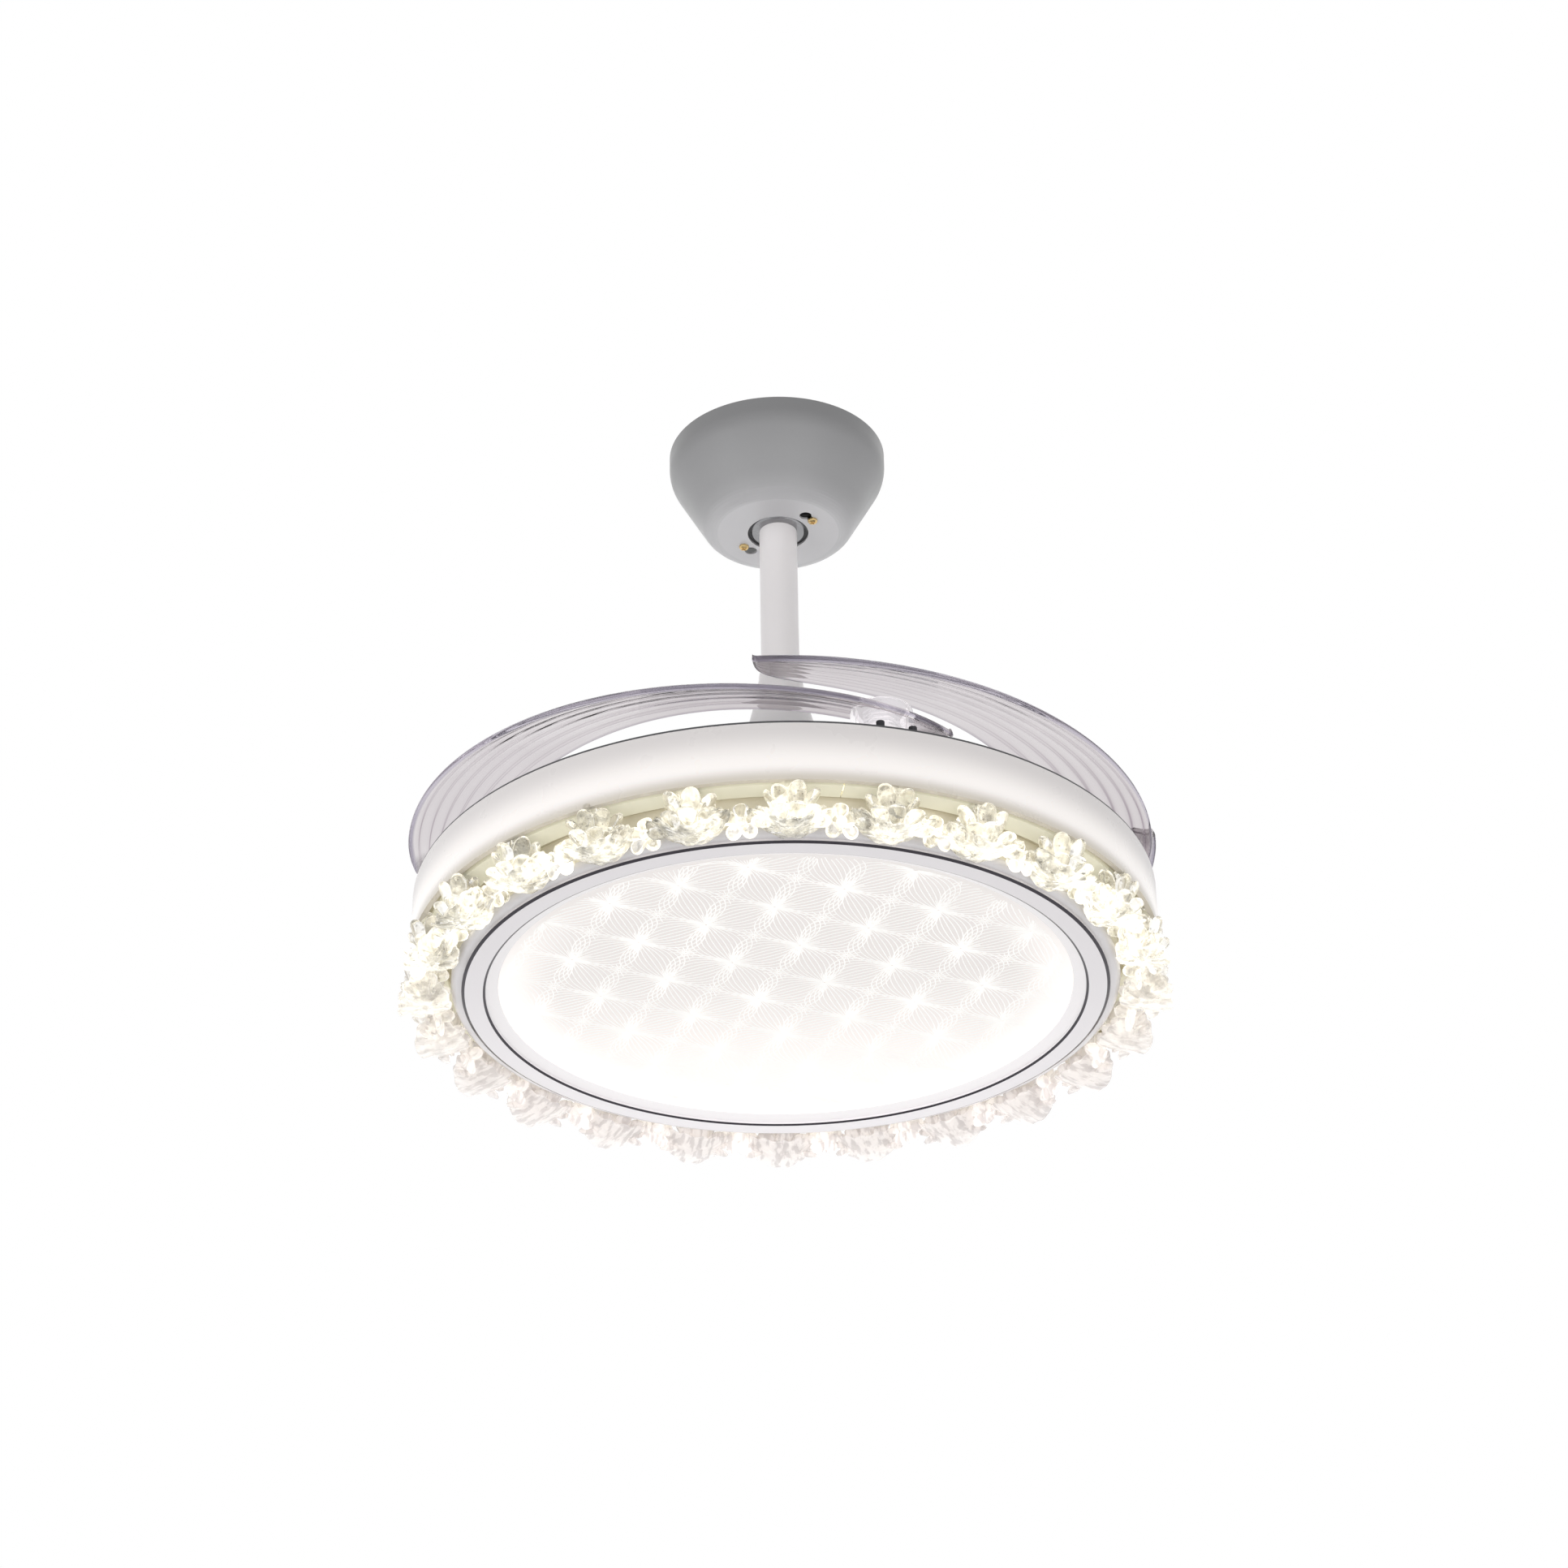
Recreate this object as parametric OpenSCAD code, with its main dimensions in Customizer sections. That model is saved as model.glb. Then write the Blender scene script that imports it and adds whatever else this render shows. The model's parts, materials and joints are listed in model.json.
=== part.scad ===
// Retractable blade ceiling fan with a crystal-edged lamp drum.
// The origin is on the ceiling, on the fan's own axis, and +Z is up. Heights
// of the lamp, the rotor and the blades are counted up from the lamp's bottom
// trim face, and in_fan() hangs that frame under the ceiling. Azimuth -90 is
// the front.

/* [Overall] */
// Ceiling to the lamp's bottom trim face
fan_drop = 422; // [390:1:620]

/* [Canopy] */
// Radius of the canopy at the ceiling
canopy_r = 75; // [74:0.5:84]
// Depth of the canopy under the ceiling
canopy_h = 62; // [60:0.5:70]
// Wall of the canopy
canopy_wall = 1.5; // [1:0.1:2]
// Straight lip at the ceiling
canopy_lip = 9; // [4:0.5:12]
// Angle of the taper from the vertical
canopy_taper = 29; // [24:0.5:31]
// Radius of the shoulder in profile
canopy_shoulder = 24; // [12:1:30]
// Radius of the bottom edge in profile
canopy_edge = 12; // [8:0.5:14]
// Radius of the hole that the rod hangs through
canopy_hole_r = 21; // [20:0.25:22]
// Distance of the canopy screws from the axis
screw_circle_r = 28.5; // [28:0.25:31]
// Azimuth of the first canopy screw
screw_azimuth = -33; // [-40:1:-28]
// Turn that frees a screw head from its slot
keyhole_turn = 15; // [14:0.5:20]
// Radius of a keyhole's big end
keyhole_r = 4.2; // [4:0.1:4.6]

/* [Hanger] */
// Thickness of the bracket's strap
strap_t = 2; // [1.6:0.1:2.6]
// Width of the bracket's strap
strap_w = 40; // [38:1:42]
// Length of the plate on the ceiling
plate_l = 118; // [108:1:124]
// Distance between the ceiling slots
slot_spacing = 88; // [76:1:92]
// Width of a ceiling slot
slot_w = 6; // [5:0.1:7]
// Length of a ceiling slot
slot_l = 14; // [10:0.5:16]
// Distance between the bracket's legs, outside
legs_apart = 72; // [70:0.5:73]
// Radius of the hanger ball
ball_r = 25; // [24.5:0.25:25.5]
// Height of the ball's centre above the canopy's bottom face
ball_rise = 18; // [17.5:0.25:18.5]
// Radius of the pin across the ball
pin_r = 4; // [3.5:0.1:4.5]

/* [Rod] */
// Radius of the hanging rod
rod_r = 13; // [12.5:0.1:13.5]
// Wall of the hanging rod
rod_wall = 1.6; // [1.2:0.1:2.4]
// Radius of the coupling under the rod
coupling_r = 18; // [17.5:0.1:18.5]
// Height of the coupling
coupling_h = 44; // [40:0.5:48]
// Height of the bell cover over the coupling
bell_h = 90; // [84:1:96]
// Radius of the bell cover's mouth
bell_r = 38; // [36:0.5:44]

/* [Motor] */
// Radius of the motor shaft
shaft_r = 8.5; // [8:0.1:9]
// Radius of the wire way in the shaft
wire_way_r = 5; // [4:0.1:5.5]
// Outer radius of the rotor shells
rotor_r = 88; // [84:0.5:92]
// Height of the rotor over its shells
rotor_h = 70; // [66:0.5:76]
// Wall of the rotor shells
rotor_wall = 4; // [3:0.25:4.5]
// Outer radius of a bearing
bearing_r = 20; // [19:0.25:22]
// Width of a bearing
bearing_w = 12; // [10:0.25:12]
// Height of the lamination stack
stack_h = 26; // [22:0.5:28]
// Poles on the stator
poles = 12; // [9:3:15]
// Thickness of the magnet ring
magnet_t = 5; // [4:0.25:6]

/* [Blades] */
// Blades on the rotor
blades = 4; // [4:1:4]
// Azimuth of the first blade's pivot
pivot_azimuth = -71; // [-90:1:0]
// Opening angle of a blade
fold_open = 118; // [100:1:122]
// Reach of a folded blade's outer edge past the band
blade_reach = 4.3; // [3:0.1:6]
// Arc of a folded blade ahead of its pivot
blade_arc = 113; // [108:0.5:116]
// Arc of a folded blade behind its pivot
heel_arc = 13; // [11:0.5:14]
// Greatest width of a blade
blade_w = 78; // [72:0.5:80]
// Thickness of a blade
blade_t = 2.4; // [2:0.1:3]
// Rise of a folded blade for each degree of its arc, by the pivot
blade_climb = 0.43; // [0.42:0.01:0.44]
// Loss of that rise over each 100 degrees of arc
climb_loss = 0.165; // [0.155:0.005:0.17]
// Rise of a blade for each millimetre inwards, at the heel
blade_rise = 0.44; // [0.43:0.01:0.45]
// Loss of that rise from the heel to the tip
rise_loss = 0.17; // [0.15:0.01:0.18]
// Lift of the whole blade above its gear
blade_lift = 1; // [0.5:0.25:3]
// Further lift of the heel, which sweeps over the synchronising ring
heel_lift = 2; // [1:0.25:3]
// Camber in the middle of a blade's width
blade_camber = 3; // [1:0.25:5]
// Depth of the moulded ribs
rib_depth = 0.7; // [0.3:0.1:1]
// Radius of a blade's hub
hub_r = 19.5; // [19.2:0.1:19.6]
// Height of a blade's hub above its gear
hub_h = 22; // [20:0.5:24]

/* [Folding gear] */
// Distance of the blade pivots inside the band
pivot_inset = 51.7; // [50:0.1:54]
// Teeth on a full blade gear
pinion_teeth = 22; // [22:2:22]
// Teeth on a full synchronising ring
ring_teeth = 168; // [168:4:168]
// Thickness of the gears
gear_t = 6; // [4:0.25:7]
// Width of the synchronising ring inside its teeth
ring_web = 15.5; // [12:0.5:18]
// Radius of a pivot post
post_r = 6; // [5:0.1:6.5]
// Thickness of the blade carrier
carrier_t = 4; // [3:0.25:5]
// Running gap between the drum and the blade carrier
carrier_gap = 7.5; // [6:0.25:9]

/* [Drum] */
// Radius of the drum's band
band_r = 241.7; // [240:0.1:243]
// Height of the drum's band
band_h = 39; // [36:0.5:44]
// Height of the band's lower edge above the trim face
recess_h = 24; // [22:0.5:26]
// Wall of the band
band_wall = 1.5; // [1:0.1:2]
// Thickness of the steel chassis plate
chassis_t = 1.5; // [1.2:0.1:2]
// Distance of the bottom cover's rim inside the band
rim_gap = 26.2; // [24:0.1:28]
// Wall of the rail that carries the crystals
rail_t = 2.5; // [2:0.1:3]
// Width of the side light's lens
lens_w = 14; // [10:0.5:16]

/* [Crystals] */
// Big flowers round the rim
flowers = 24; // [20:1:24]
// Reach of the crystals past the band
crystal_reach = 8.3; // [6:0.1:10]
// Half width of a big flower
flower_w = 16.5; // [14:0.25:17]
// Half width of a small flower
bud_w = 12; // [10:0.25:12.5]

/* [Bottom] */
// Distance of the trim ring inside the cover's rim
trim_inset = 7; // [5.5:0.1:9]
// Width of the trim ring over its dark edges
trim_w = 15.3; // [12:0.1:18]
// Depth of the trim ring
trim_t = 2.4; // [1.6:0.1:3.5]
// Thickness of the dark edges
inlay_t = 1; // [0.6:0.1:1.4]
// Width of the bevel inside the trim ring
bevel_w = 8; // [6:0.25:10]
// Thickness of the diffuser
diffuser_t = 2.5; // [2:0.1:4]
// Distance of the light board's edge inside the diffuser's
board_inset = 20.2; // [14:0.1:30]
// Length, width and height of the driver's case
driver_l = 128; // [110:1:130]
driver_w = 58; // [50:1:60]
driver_h = 17; // [14:0.5:18]
// Length, width and height of the receiver's case
receiver_l = 92; // [80:1:100]
receiver_w = 44; // [36:1:48]
receiver_h = 15; // [12:0.5:16]

/* [Hidden] */
$fn = 96;
// Fits: faces that touch in one body, running fits and gaps between bodies
snug = 0.05;
run = 0.05;
air = 0.3;
back_lash = 0.3;

// Radii that follow the band
rim_r = band_r - rim_gap;
rail_r = rim_r - 0.5;
strip_r = (band_r - band_wall + rail_r) / 2;
crystal_r = band_r + crystal_reach;
blade_r = band_r + blade_reach;
trim_r = rim_r - trim_inset;
trim_in_r = trim_r - trim_w;
glass_r = trim_in_r - bevel_w;
board_r = glass_r - board_inset;
standoff_r = board_r - 45;

// Gear circles: the module follows the pivots' circle
pivot_r = band_r - pivot_inset;
gear_m = 2 * pivot_r / (pinion_teeth + ring_teeth);
pinion_pitch_r = gear_m * pinion_teeth / 2;
ring_pitch_r = gear_m * ring_teeth / 2;
ring_root_r = ring_pitch_r - 1.25 * gear_m;
ring_bore_r = ring_root_r - ring_web;

// Heights above the trim face
band_top = recess_h + band_h;
chassis_top = band_top + chassis_t;
carrier_low = chassis_top + carrier_gap;
carrier_top = carrier_low + carrier_t;
gear_low = carrier_top + 2.2 + air;
gear_top = gear_low + gear_t;
hub_top = gear_top + hub_h;
rotor_top = carrier_top + rotor_h;
rotor_mid = carrier_top + 0.43 * rotor_h;
stack_low = carrier_top + (rotor_h - stack_h) / 2;
coupling_low = rotor_top + 10;
rod_low = coupling_low + 18;
coupling_top = coupling_low + coupling_h;
bell_low = coupling_low - 2;
bell_top = bell_low + bell_h;
rail_low = trim_t + 4;
shelf_low = recess_h + 3.5;

shelf_t = 1.5;
board_low = recess_h + 17;
board_t = 1.6;

// Hanger
ball_drop = canopy_h - ball_rise;
seat_z = -canopy_h + canopy_wall;
seat_bore_r = ball_r - 7;
screw_r = 1.9;
seat_bush_r = 22.8;
set_screw_r = 2.5;

// Motor
shell_in_r = rotor_r - rotor_wall;
magnet_in_r = shell_in_r - magnet_t;
stack_r = magnet_in_r - 0.7;
stack_bore_r = shaft_r + 21.5;
yoke_r = stack_bore_r + 11;
tooth_w = PI * stack_bore_r / poles;
rotor_screw_r = rotor_r - 8;

// Hub of a blade, its collar, pocket and spring
collar_r = 12;
key_w = 4;
key_reach = 2;
pocket_r = hub_r - 4.5;
boss_r = post_r + 2.2;
pocket_low = gear_top + 6;
cap_r = hub_r - 3.7;
cap_t = 2.2;
rivet_r = post_r - 2;
wire_r = 0.75;
spring_r = (pocket_r + boss_r) / 2;
spring_turns = 4.5;

// Stops and guides of the folding gear
arm_w = 2 * pinion_pitch_r;
carrier_ring_r = ring_bore_r - 28;
bumper_r = 2.6;
bumper_pin_r = 1.5;
stop_r = pinion_pitch_r + 3.5;
guide_r = 7.9;
guide_pin_r = 3;

// Blade surface
blade_base = gear_low + blade_lift - 1;
blade_rings = 30;
blade_strips = 12;

// Lamp
plate_screw_r = 18.5;
band_screw_r = band_r - 8;
cover_screw_azimuth = -90 + 3.75;

// ---- helpers ----------------------------------------------------------

// The frame whose zero height is the bottom trim face
module in_fan() translate([0, 0, -fan_drop]) children();

// A tube from height low to height high
module tube(r_out, r_in, low, high) translate([0, 0, low]) difference() {
    cylinder(r = r_out, h = high - low);
    translate([0, 0, -1]) cylinder(r = r_in, h = high - low + 2);
}

// A rod from height low to height high
module post(r, low, high) translate([0, 0, low]) cylinder(r = r, h = high - low);

// Copies turned round the axis
module around(count, start = 0) for (i = [0:count - 1]) rotate(start + i * 360 / count) children();

// Points on an arc of the profile plane
function arc(centre, r, from, to, steps = 6) =
    [for (i = [0:steps]) let (a = from + (to - from) * i / steps) centre + r * [cos(a), sin(a)]];

function reversed(list) = [for (i = [len(list) - 1:-1:0]) list[i]];

// A closed skin over rings of points, with fans over its two ends
module skin(rings, low_tip, high_tip) {
    n = len(rings[0]);
    m = len(rings);
    points = concat([for (ring = rings) each ring], [low_tip, high_tip]);
    sides = [for (j = [0:m - 2], i = [0:n - 1]) let (k = (i + 1) % n)
        each [[j * n + i, (j + 1) * n + i, j * n + k], [j * n + k, (j + 1) * n + i, (j + 1) * n + k]]];
    low = [for (i = [0:n - 1]) [m * n, i, (i + 1) % n]];
    high = [for (i = [0:n - 1]) [m * n + 1, (m - 1) * n + (i + 1) % n, (m - 1) * n + i]];
    polyhedron(points, concat(low, sides, high));
}

// ---- canopy and hanger ------------------------------------------------

// The canopy's profile, drawn in by inset from its outside
function canopy_profile(inset) =
    let (shoulder = [canopy_r - canopy_shoulder, -canopy_lip],
         slope_end = shoulder + canopy_shoulder * [cos(canopy_taper), -sin(canopy_taper)],
         edge_z = -canopy_h + canopy_edge,
         fall = (edge_z - slope_end[1]) * sin(canopy_taper),
         edge_x = slope_end[0] + (fall - canopy_edge) / cos(canopy_taper))
    concat([[canopy_r - inset, 0]],
           arc(shoulder, canopy_shoulder - inset, 0, -canopy_taper),
           arc([edge_x, edge_z], canopy_edge - inset, -canopy_taper, -90),
           [[0, -canopy_h + inset]]);

// A keyhole through the canopy's bottom, from a screw's seat to its big end
module keyhole() {
    slot_r = screw_r + 0.25;
    seat_r = slot_r + 0.2;
    rotate(-keyhole_turn) rotate_extrude(angle = keyhole_turn)
        translate([screw_circle_r - slot_r, -canopy_h - 1]) square([2 * slot_r, canopy_wall + 2]);
    for (turn = [[0, seat_r], [-keyhole_turn, keyhole_r]])
        rotate(turn[0]) translate([screw_circle_r, 0, -canopy_h - 1])
            cylinder(r = turn[1], h = canopy_wall + 2);
}

module canopy() color("gainsboro") difference() {
    rotate_extrude() polygon(concat([[0, 0]], canopy_profile(0)));
    rotate_extrude() polygon(concat([[0, 1], [canopy_r - canopy_wall, 1]], canopy_profile(canopy_wall)));
    translate([0, 0, -canopy_h - 1]) cylinder(r = canopy_hole_r, h = canopy_wall + 2);
    around(2, screw_azimuth) keyhole();
}

// The strap's leg and seat stay inside the canopy's narrow end
module hanger_bracket() color("silver") difference() {
    union() {
        translate([-plate_l / 2, -strap_w / 2, -strap_t]) cube([plate_l, strap_w, strap_t]);
        intersection() {
            translate([-legs_apart / 2, -strap_w / 2, seat_z]) difference() {
                cube([legs_apart, strap_w, -seat_z]);
                translate([strap_t, -1, strap_t]) cube([legs_apart - 2 * strap_t, strap_w + 2, -seat_z]);
            }
            post(legs_apart / 2 + 3, seat_z, 0);
        }
    }
    post(seat_bush_r + snug, seat_z - 1, seat_z + strap_t + 1);
    at_canopy_screws() post(screw_r + snug, seat_z - 1, seat_z + strap_t + 1);
    for (side = [-1, 1]) translate([side * slot_spacing / 2, 0, -strap_t - 1]) ceiling_slot();
}

module ceiling_slot() {
    reach = (slot_l - slot_w) / 2;
    for (end = [-reach, reach]) translate([end, 0, 0]) cylinder(r = slot_w / 2, h = strap_t + 2);
    translate([-reach, -slot_w / 2, 0]) cube([2 * reach, slot_w, strap_t + 2]);
}

// Pan head screws that hold the canopy up to the bracket's seat
module at_canopy_screws() around(2, screw_azimuth) translate([screw_circle_r, 0, 0]) children();

module canopy_screws() color("goldenrod") at_canopy_screws() difference() {
    union() {
        post(screw_r, -canopy_h, seat_z + strap_t + 3);
        rotate_extrude() polygon(concat([[0, -canopy_h], [3.4, -canopy_h]],
            arc([1.6, -canopy_h - 0.4], 1.8, 0, -90, 4), [[0, -canopy_h - 2.2]]));
    }
    for (turn = [0, 90]) rotate(turn) translate([-2, -0.4, -canopy_h - 3]) cube([4, 0.8, 1.6]);
}

// Nylon bush with a spherical seat for the ball
module ball_seat() color("dimgray") difference() {
    union() {
        post(seat_bush_r, seat_z, seat_z + strap_t + 1);
        post(seat_bush_r + 2.6, seat_z + strap_t, seat_z + 9);
    }
    translate([0, 0, -ball_drop]) sphere(r = ball_r + run);
    post(seat_bore_r, seat_z - 1, seat_z + 10);
}

module hanger_pin() color("silver") translate([0, 0, -ball_drop]) rotate([90, 0, 0])
    translate([0, 0, -ball_r + 2]) cylinder(r = pin_r, h = 2 * ball_r - 4);

module pin_way() translate([0, 0, -ball_drop]) rotate([90, 0, 0])
    translate([0, 0, -ball_r - 2]) cylinder(r = pin_r + run, h = 2 * ball_r + 4);

module hanger_ball() color("lightgray") difference() {
    intersection() {
        translate([0, 0, -ball_drop]) sphere(r = ball_r);
        post(ball_r + 1, -ball_drop - 0.7 * ball_r, -ball_drop + 0.68 * ball_r);
    }
    post(rod_r + snug, -ball_drop - ball_r - 1, -ball_drop + ball_r + 1);
    pin_way();
    set_screw_place() translate([0, 0, -3]) cylinder(r = set_screw_r + snug, h = ball_r);
}

// Grub screw from the ball's shoulder against the rod
module set_screw_place() translate([0, 0, -ball_drop + 9]) rotate([0, 90, 0])
    translate([0, 0, rod_r + snug]) children();

module ball_set_screw() color("dimgray") difference() {
    set_screw_place() cylinder(r = set_screw_r, h = 9);
    set_screw_place() translate([0, 0, 6]) cylinder(r = set_screw_r - 1.2, h = 4, $fn = 6);
}

module downrod() color("whitesmoke") difference() {
    tube(rod_r, rod_r - rod_wall, -fan_drop + rod_low, -ball_drop + 22);
    pin_way();
    in_fan() bolt_way(3 + snug);
}

// ---- coupling ---------------------------------------------------------

module bolt_way(r) translate([0, 0, rod_low + 10]) rotate([0, 90, 0])
    translate([0, 0, -coupling_r - 2]) cylinder(r = r, h = 2 * coupling_r + 4);

// Yoke that joins the rod to the motor shaft
module rod_coupling() color("silver") in_fan() difference() {
    union() {
        post(coupling_r, coupling_low, coupling_top);
        post(coupling_r + 3, coupling_low, coupling_low + 4);
    }
    post(rod_r + snug, rod_low, coupling_top + 1);
    post(shaft_r + snug, coupling_low - 1, rod_low + 1);
    bolt_way(3 + snug);
}

module coupling_bolt() color("gray") in_fan() translate([0, 0, rod_low + 10]) rotate([0, 90, 0]) {
    translate([0, 0, -coupling_r]) cylinder(r = 3, h = 2 * coupling_r);
    translate([0, 0, coupling_r]) cylinder(r = 4.6, h = 2.2, $fn = 6);
    translate([0, 0, -coupling_r - 2.6]) cylinder(r = 4.6, h = 2.6, $fn = 6);
}

// Bell cover: it slides on the rod and flares over the coupling
module coupling_cover() color("whitesmoke") in_fan() {
    wall = 1.2;
    neck_r = rod_r + 0.3;
    flare = function(t) neck_r + wall + (bell_r - neck_r - wall) * pow(t, 1.35);
    steps = 14;
    outer = [for (i = [0:steps]) [flare(i / steps), bell_top - bell_h * i / steps]];
    inner = [for (i = [steps:-1:0]) [max(neck_r, flare(i / steps) - wall), bell_top - bell_h * i / steps]];
    rotate_extrude() polygon(concat(outer, inner));
}

// ---- motor ------------------------------------------------------------

module motor_shaft() color("silver") in_fan()
    tube(shaft_r, wire_way_r, band_top - 7, rod_low);

module stator_hub() color("gray") in_fan() difference() {
    union() {
        tube(stack_bore_r, shaft_r + snug, stack_low, stack_low + stack_h);
        tube(shaft_r + 5, shaft_r + snug, bearing_low(false) + bearing_w + 0.5, bearing_low(true) - 0.5);
    }
    around(6) translate([(stack_bore_r + shaft_r) / 2 + 1, 0, stack_low - 1])
        cylinder(r = 3.5, h = stack_h + 2);
}

module stator_core() color("slategray") in_fan() translate([0, 0, stack_low]) linear_extrude(stack_h) {
    difference() {
        circle(r = yoke_r);
        circle(r = stack_bore_r + snug);
    }
    around(poles) {
        translate([yoke_r - 2, -tooth_w / 2]) square([stack_r - yoke_r, tooth_w]);
        intersection() {
            difference() {
                circle(r = stack_r);
                circle(r = stack_r - 4);
            }
            polygon([[0, 0], 2 * stack_r * [1, -tan(150 / poles)], 2 * stack_r * [1, tan(150 / poles)]]);
        }
    }
}

// One wound bobbin on each tooth
module stator_windings() color("chocolate") in_fan() around(poles) {
    from_r = yoke_r + 4;
    depth = stack_r - 5.5 - from_r;
    over = 6;
    side = 4;
    translate([from_r, 0, stack_low]) difference() {
        translate([0, -tooth_w / 2 - side, -over]) cube([depth, tooth_w + 2 * side, stack_h + 2 * over]);
        translate([-1, -tooth_w / 2 - snug, -snug]) cube([depth + 2, tooth_w + 2 * snug, stack_h + 2 * snug]);
    }
}

function bearing_low(upper) = upper ? rotor_top - rotor_wall - bearing_w : carrier_top + rotor_wall;

// A shielded ball bearing, drawn as its races and shields in one solid
module bearing(low) color("silver") in_fan() difference() {
    tube(bearing_r - run, shaft_r + snug, low, low + bearing_w);
    for (face = [low - 1, low + bearing_w - 0.6])
        tube(bearing_r - 3, shaft_r + 3, face, face + 1.6);
}

module upper_bearing() bearing(bearing_low(true));

module lower_bearing() bearing(bearing_low(false));

// A shell of the rotor: its end wall is on the carrier's side when low
module rotor_shell(low, high, end_low) difference() {
    union() {
        tube(rotor_r, shell_in_r, low, high);
        tube(rotor_r - 2, shaft_r + 6, end_low, end_low + rotor_wall);
        bearing_from = end_low == low ? low : high - rotor_wall - bearing_w;
        tube(bearing_r + 5, bearing_r, bearing_from, bearing_from + rotor_wall + bearing_w);
    }
    around(8, 22.5) translate([shell_in_r - 16, 0, end_low - 1]) cylinder(r = 6, h = rotor_wall + 2);
    around(6) translate([rotor_screw_r, 0, end_low - 1]) cylinder(r = 2 + snug, h = rotor_wall + 2);
}

module rotor_lower_shell() color("lightgray") in_fan() rotor_shell(carrier_top, rotor_mid, carrier_top);

module rotor_upper_shell() color("lightgray") in_fan()
    rotor_shell(rotor_mid, rotor_top, rotor_top - rotor_wall);

module rotor_magnets() color("dimgray") in_fan() difference() {
    tube(shell_in_r - snug, magnet_in_r, stack_low - 1, stack_low + stack_h + 1);
    around(16, 11.25) translate([magnet_in_r - 1, -0.5, stack_low - 2]) cube([2.5, 1, stack_h + 4]);
}

// Screws that hold the blade carrier under the lower shell
module rotor_screws() color("silver") in_fan() around(6) translate([rotor_screw_r, 0, 0]) difference() {
    union() {
        post(2, carrier_low, carrier_top + rotor_wall);
        post(3.6, carrier_low - 2.2, carrier_low);
    }
    translate([0, 0, carrier_low - 3]) cylinder(r = 1.5, h = 2, $fn = 6);
}

// ---- blade carrier and folding gear -------------------------------------

module at_pivots() around(blades, pivot_azimuth) translate([pivot_r, 0, 0]) children();

module blade_carrier() color("dimgray") in_fan() difference() {
    translate([0, 0, carrier_low]) linear_extrude(carrier_t) difference() {
        union() {
            circle(r = rotor_r + 4);
            difference() {
                circle(r = ring_bore_r + 5);
                circle(r = carrier_ring_r);
            }
            around(blades, pivot_azimuth) {
                translate([0, -arm_w / 2]) square([pivot_r, arm_w]);
                translate([pivot_r, 0]) circle(r = stop_r + 1.5);
            }
        }
        circle(r = bearing_r + 6);
        around(blades, pivot_azimuth + 45) translate([rotor_screw_r - 22, 0]) circle(r = 10);
        around(blades, pivot_azimuth) translate([(rotor_r + ring_bore_r) / 2 - 4, 0]) circle(r = 9);
        at_pivots() circle(r = rivet_r + snug);
        around(6) translate([rotor_screw_r, 0]) circle(r = 2 + snug);
        guide_places() circle(r = guide_pin_r + snug);
        at_pivots() bumper_places() circle(r = bumper_pin_r + snug);
    }
}

// Shouldered post: riveted into the carrier, turned for the hub, tapped on top
module pivot_posts() color("silver") in_fan() at_pivots() difference() {
    union() {
        post(rivet_r, carrier_low, carrier_top);
        post(post_r + 4, carrier_top, gear_low - air);
        post(post_r, carrier_top, hub_top);
    }
    post(1.7, hub_top - 12, hub_top + 1);
}

// Cap and its screw over the hub's spring pocket
module pivot_caps() color("darkgray") in_fan() at_pivots() difference() {
    union() {
        rotate_extrude() polygon(concat([[0, hub_top + air], [cap_r, hub_top + air]],
            arc([cap_r - 1.6, hub_top + air + cap_t - 1.6], 1.6, 0, 90, 4), [[0, hub_top + air + cap_t]]));
        post(1.6, hub_top - 11, hub_top + 1);
        post(post_r - 0.5, hub_top, hub_top + air);
    }
    for (turn = [0, 90]) rotate(turn) translate([-2.5, -0.5, hub_top + air + cap_t - 1]) cube([5, 1, 2]);
}

// Torsion spring in each hub, drawn at rest: a rising helix of round wire
module blade_springs() color("slategray") in_fan() at_pivots() {
    sides = 6;
    steps = round(8 * spring_turns);
    low = pocket_low + wire_r + 0.6;
    pitch = (hub_top - wire_r - low) / spring_turns;
    tip = function(i) [spring_r * cos(45 * i), spring_r * sin(45 * i), low + pitch * i / 8];
    ring = function(i) [for (s = [0:sides - 1]) let (a = -360 * s / sides, r = spring_r + wire_r * cos(a))
        [r * cos(45 * i), r * sin(45 * i), low + pitch * i / 8 + wire_r * sin(a)]];
    skin([for (i = [0:steps]) ring(i)], tip(0), tip(steps));
}

// Angles, from the outward direction, of the teeth's two ends on a blade gear
function tooth_angle(k) = 180 + 360 / pinion_teeth * (k + 0.5);
last_tooth = 1;
first_tooth = -floor((fold_open + 20) / (360 / pinion_teeth)) - 1;
stop_half = asin((bumper_r + air) / stop_r) + 0.3 * 360 / pinion_teeth + 1.6;

// The two stops that a blade's gear sector meets, folded and open
module bumper_places() for (stop = [tooth_angle(first_tooth) - stop_half - 1.5,
                                    tooth_angle(last_tooth) + fold_open + stop_half + 1.5])
    rotate(stop) translate([stop_r, 0]) children();

module stop_bumpers() color("darkslategray") in_fan() at_pivots() bumper_places() {
    post(bumper_r, carrier_top, gear_top - 0.5);
    post(bumper_pin_r, carrier_low, carrier_top);
}

module guide_places() around(2 * blades, pivot_azimuth + 22.5)
    translate([ring_bore_r - 0.1 - guide_r, 0]) children();

// Flanged nylon spools that hold the synchronising ring true
module ring_guides() color("ivory") in_fan() guide_places() {
    post(guide_pin_r, carrier_low, carrier_top);
    post(guide_r + 3, carrier_top, gear_low - air);
    post(guide_r, carrier_top, gear_top + air);
    post(guide_r + 3, gear_top + air, gear_top + air + 1.6);
}

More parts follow.
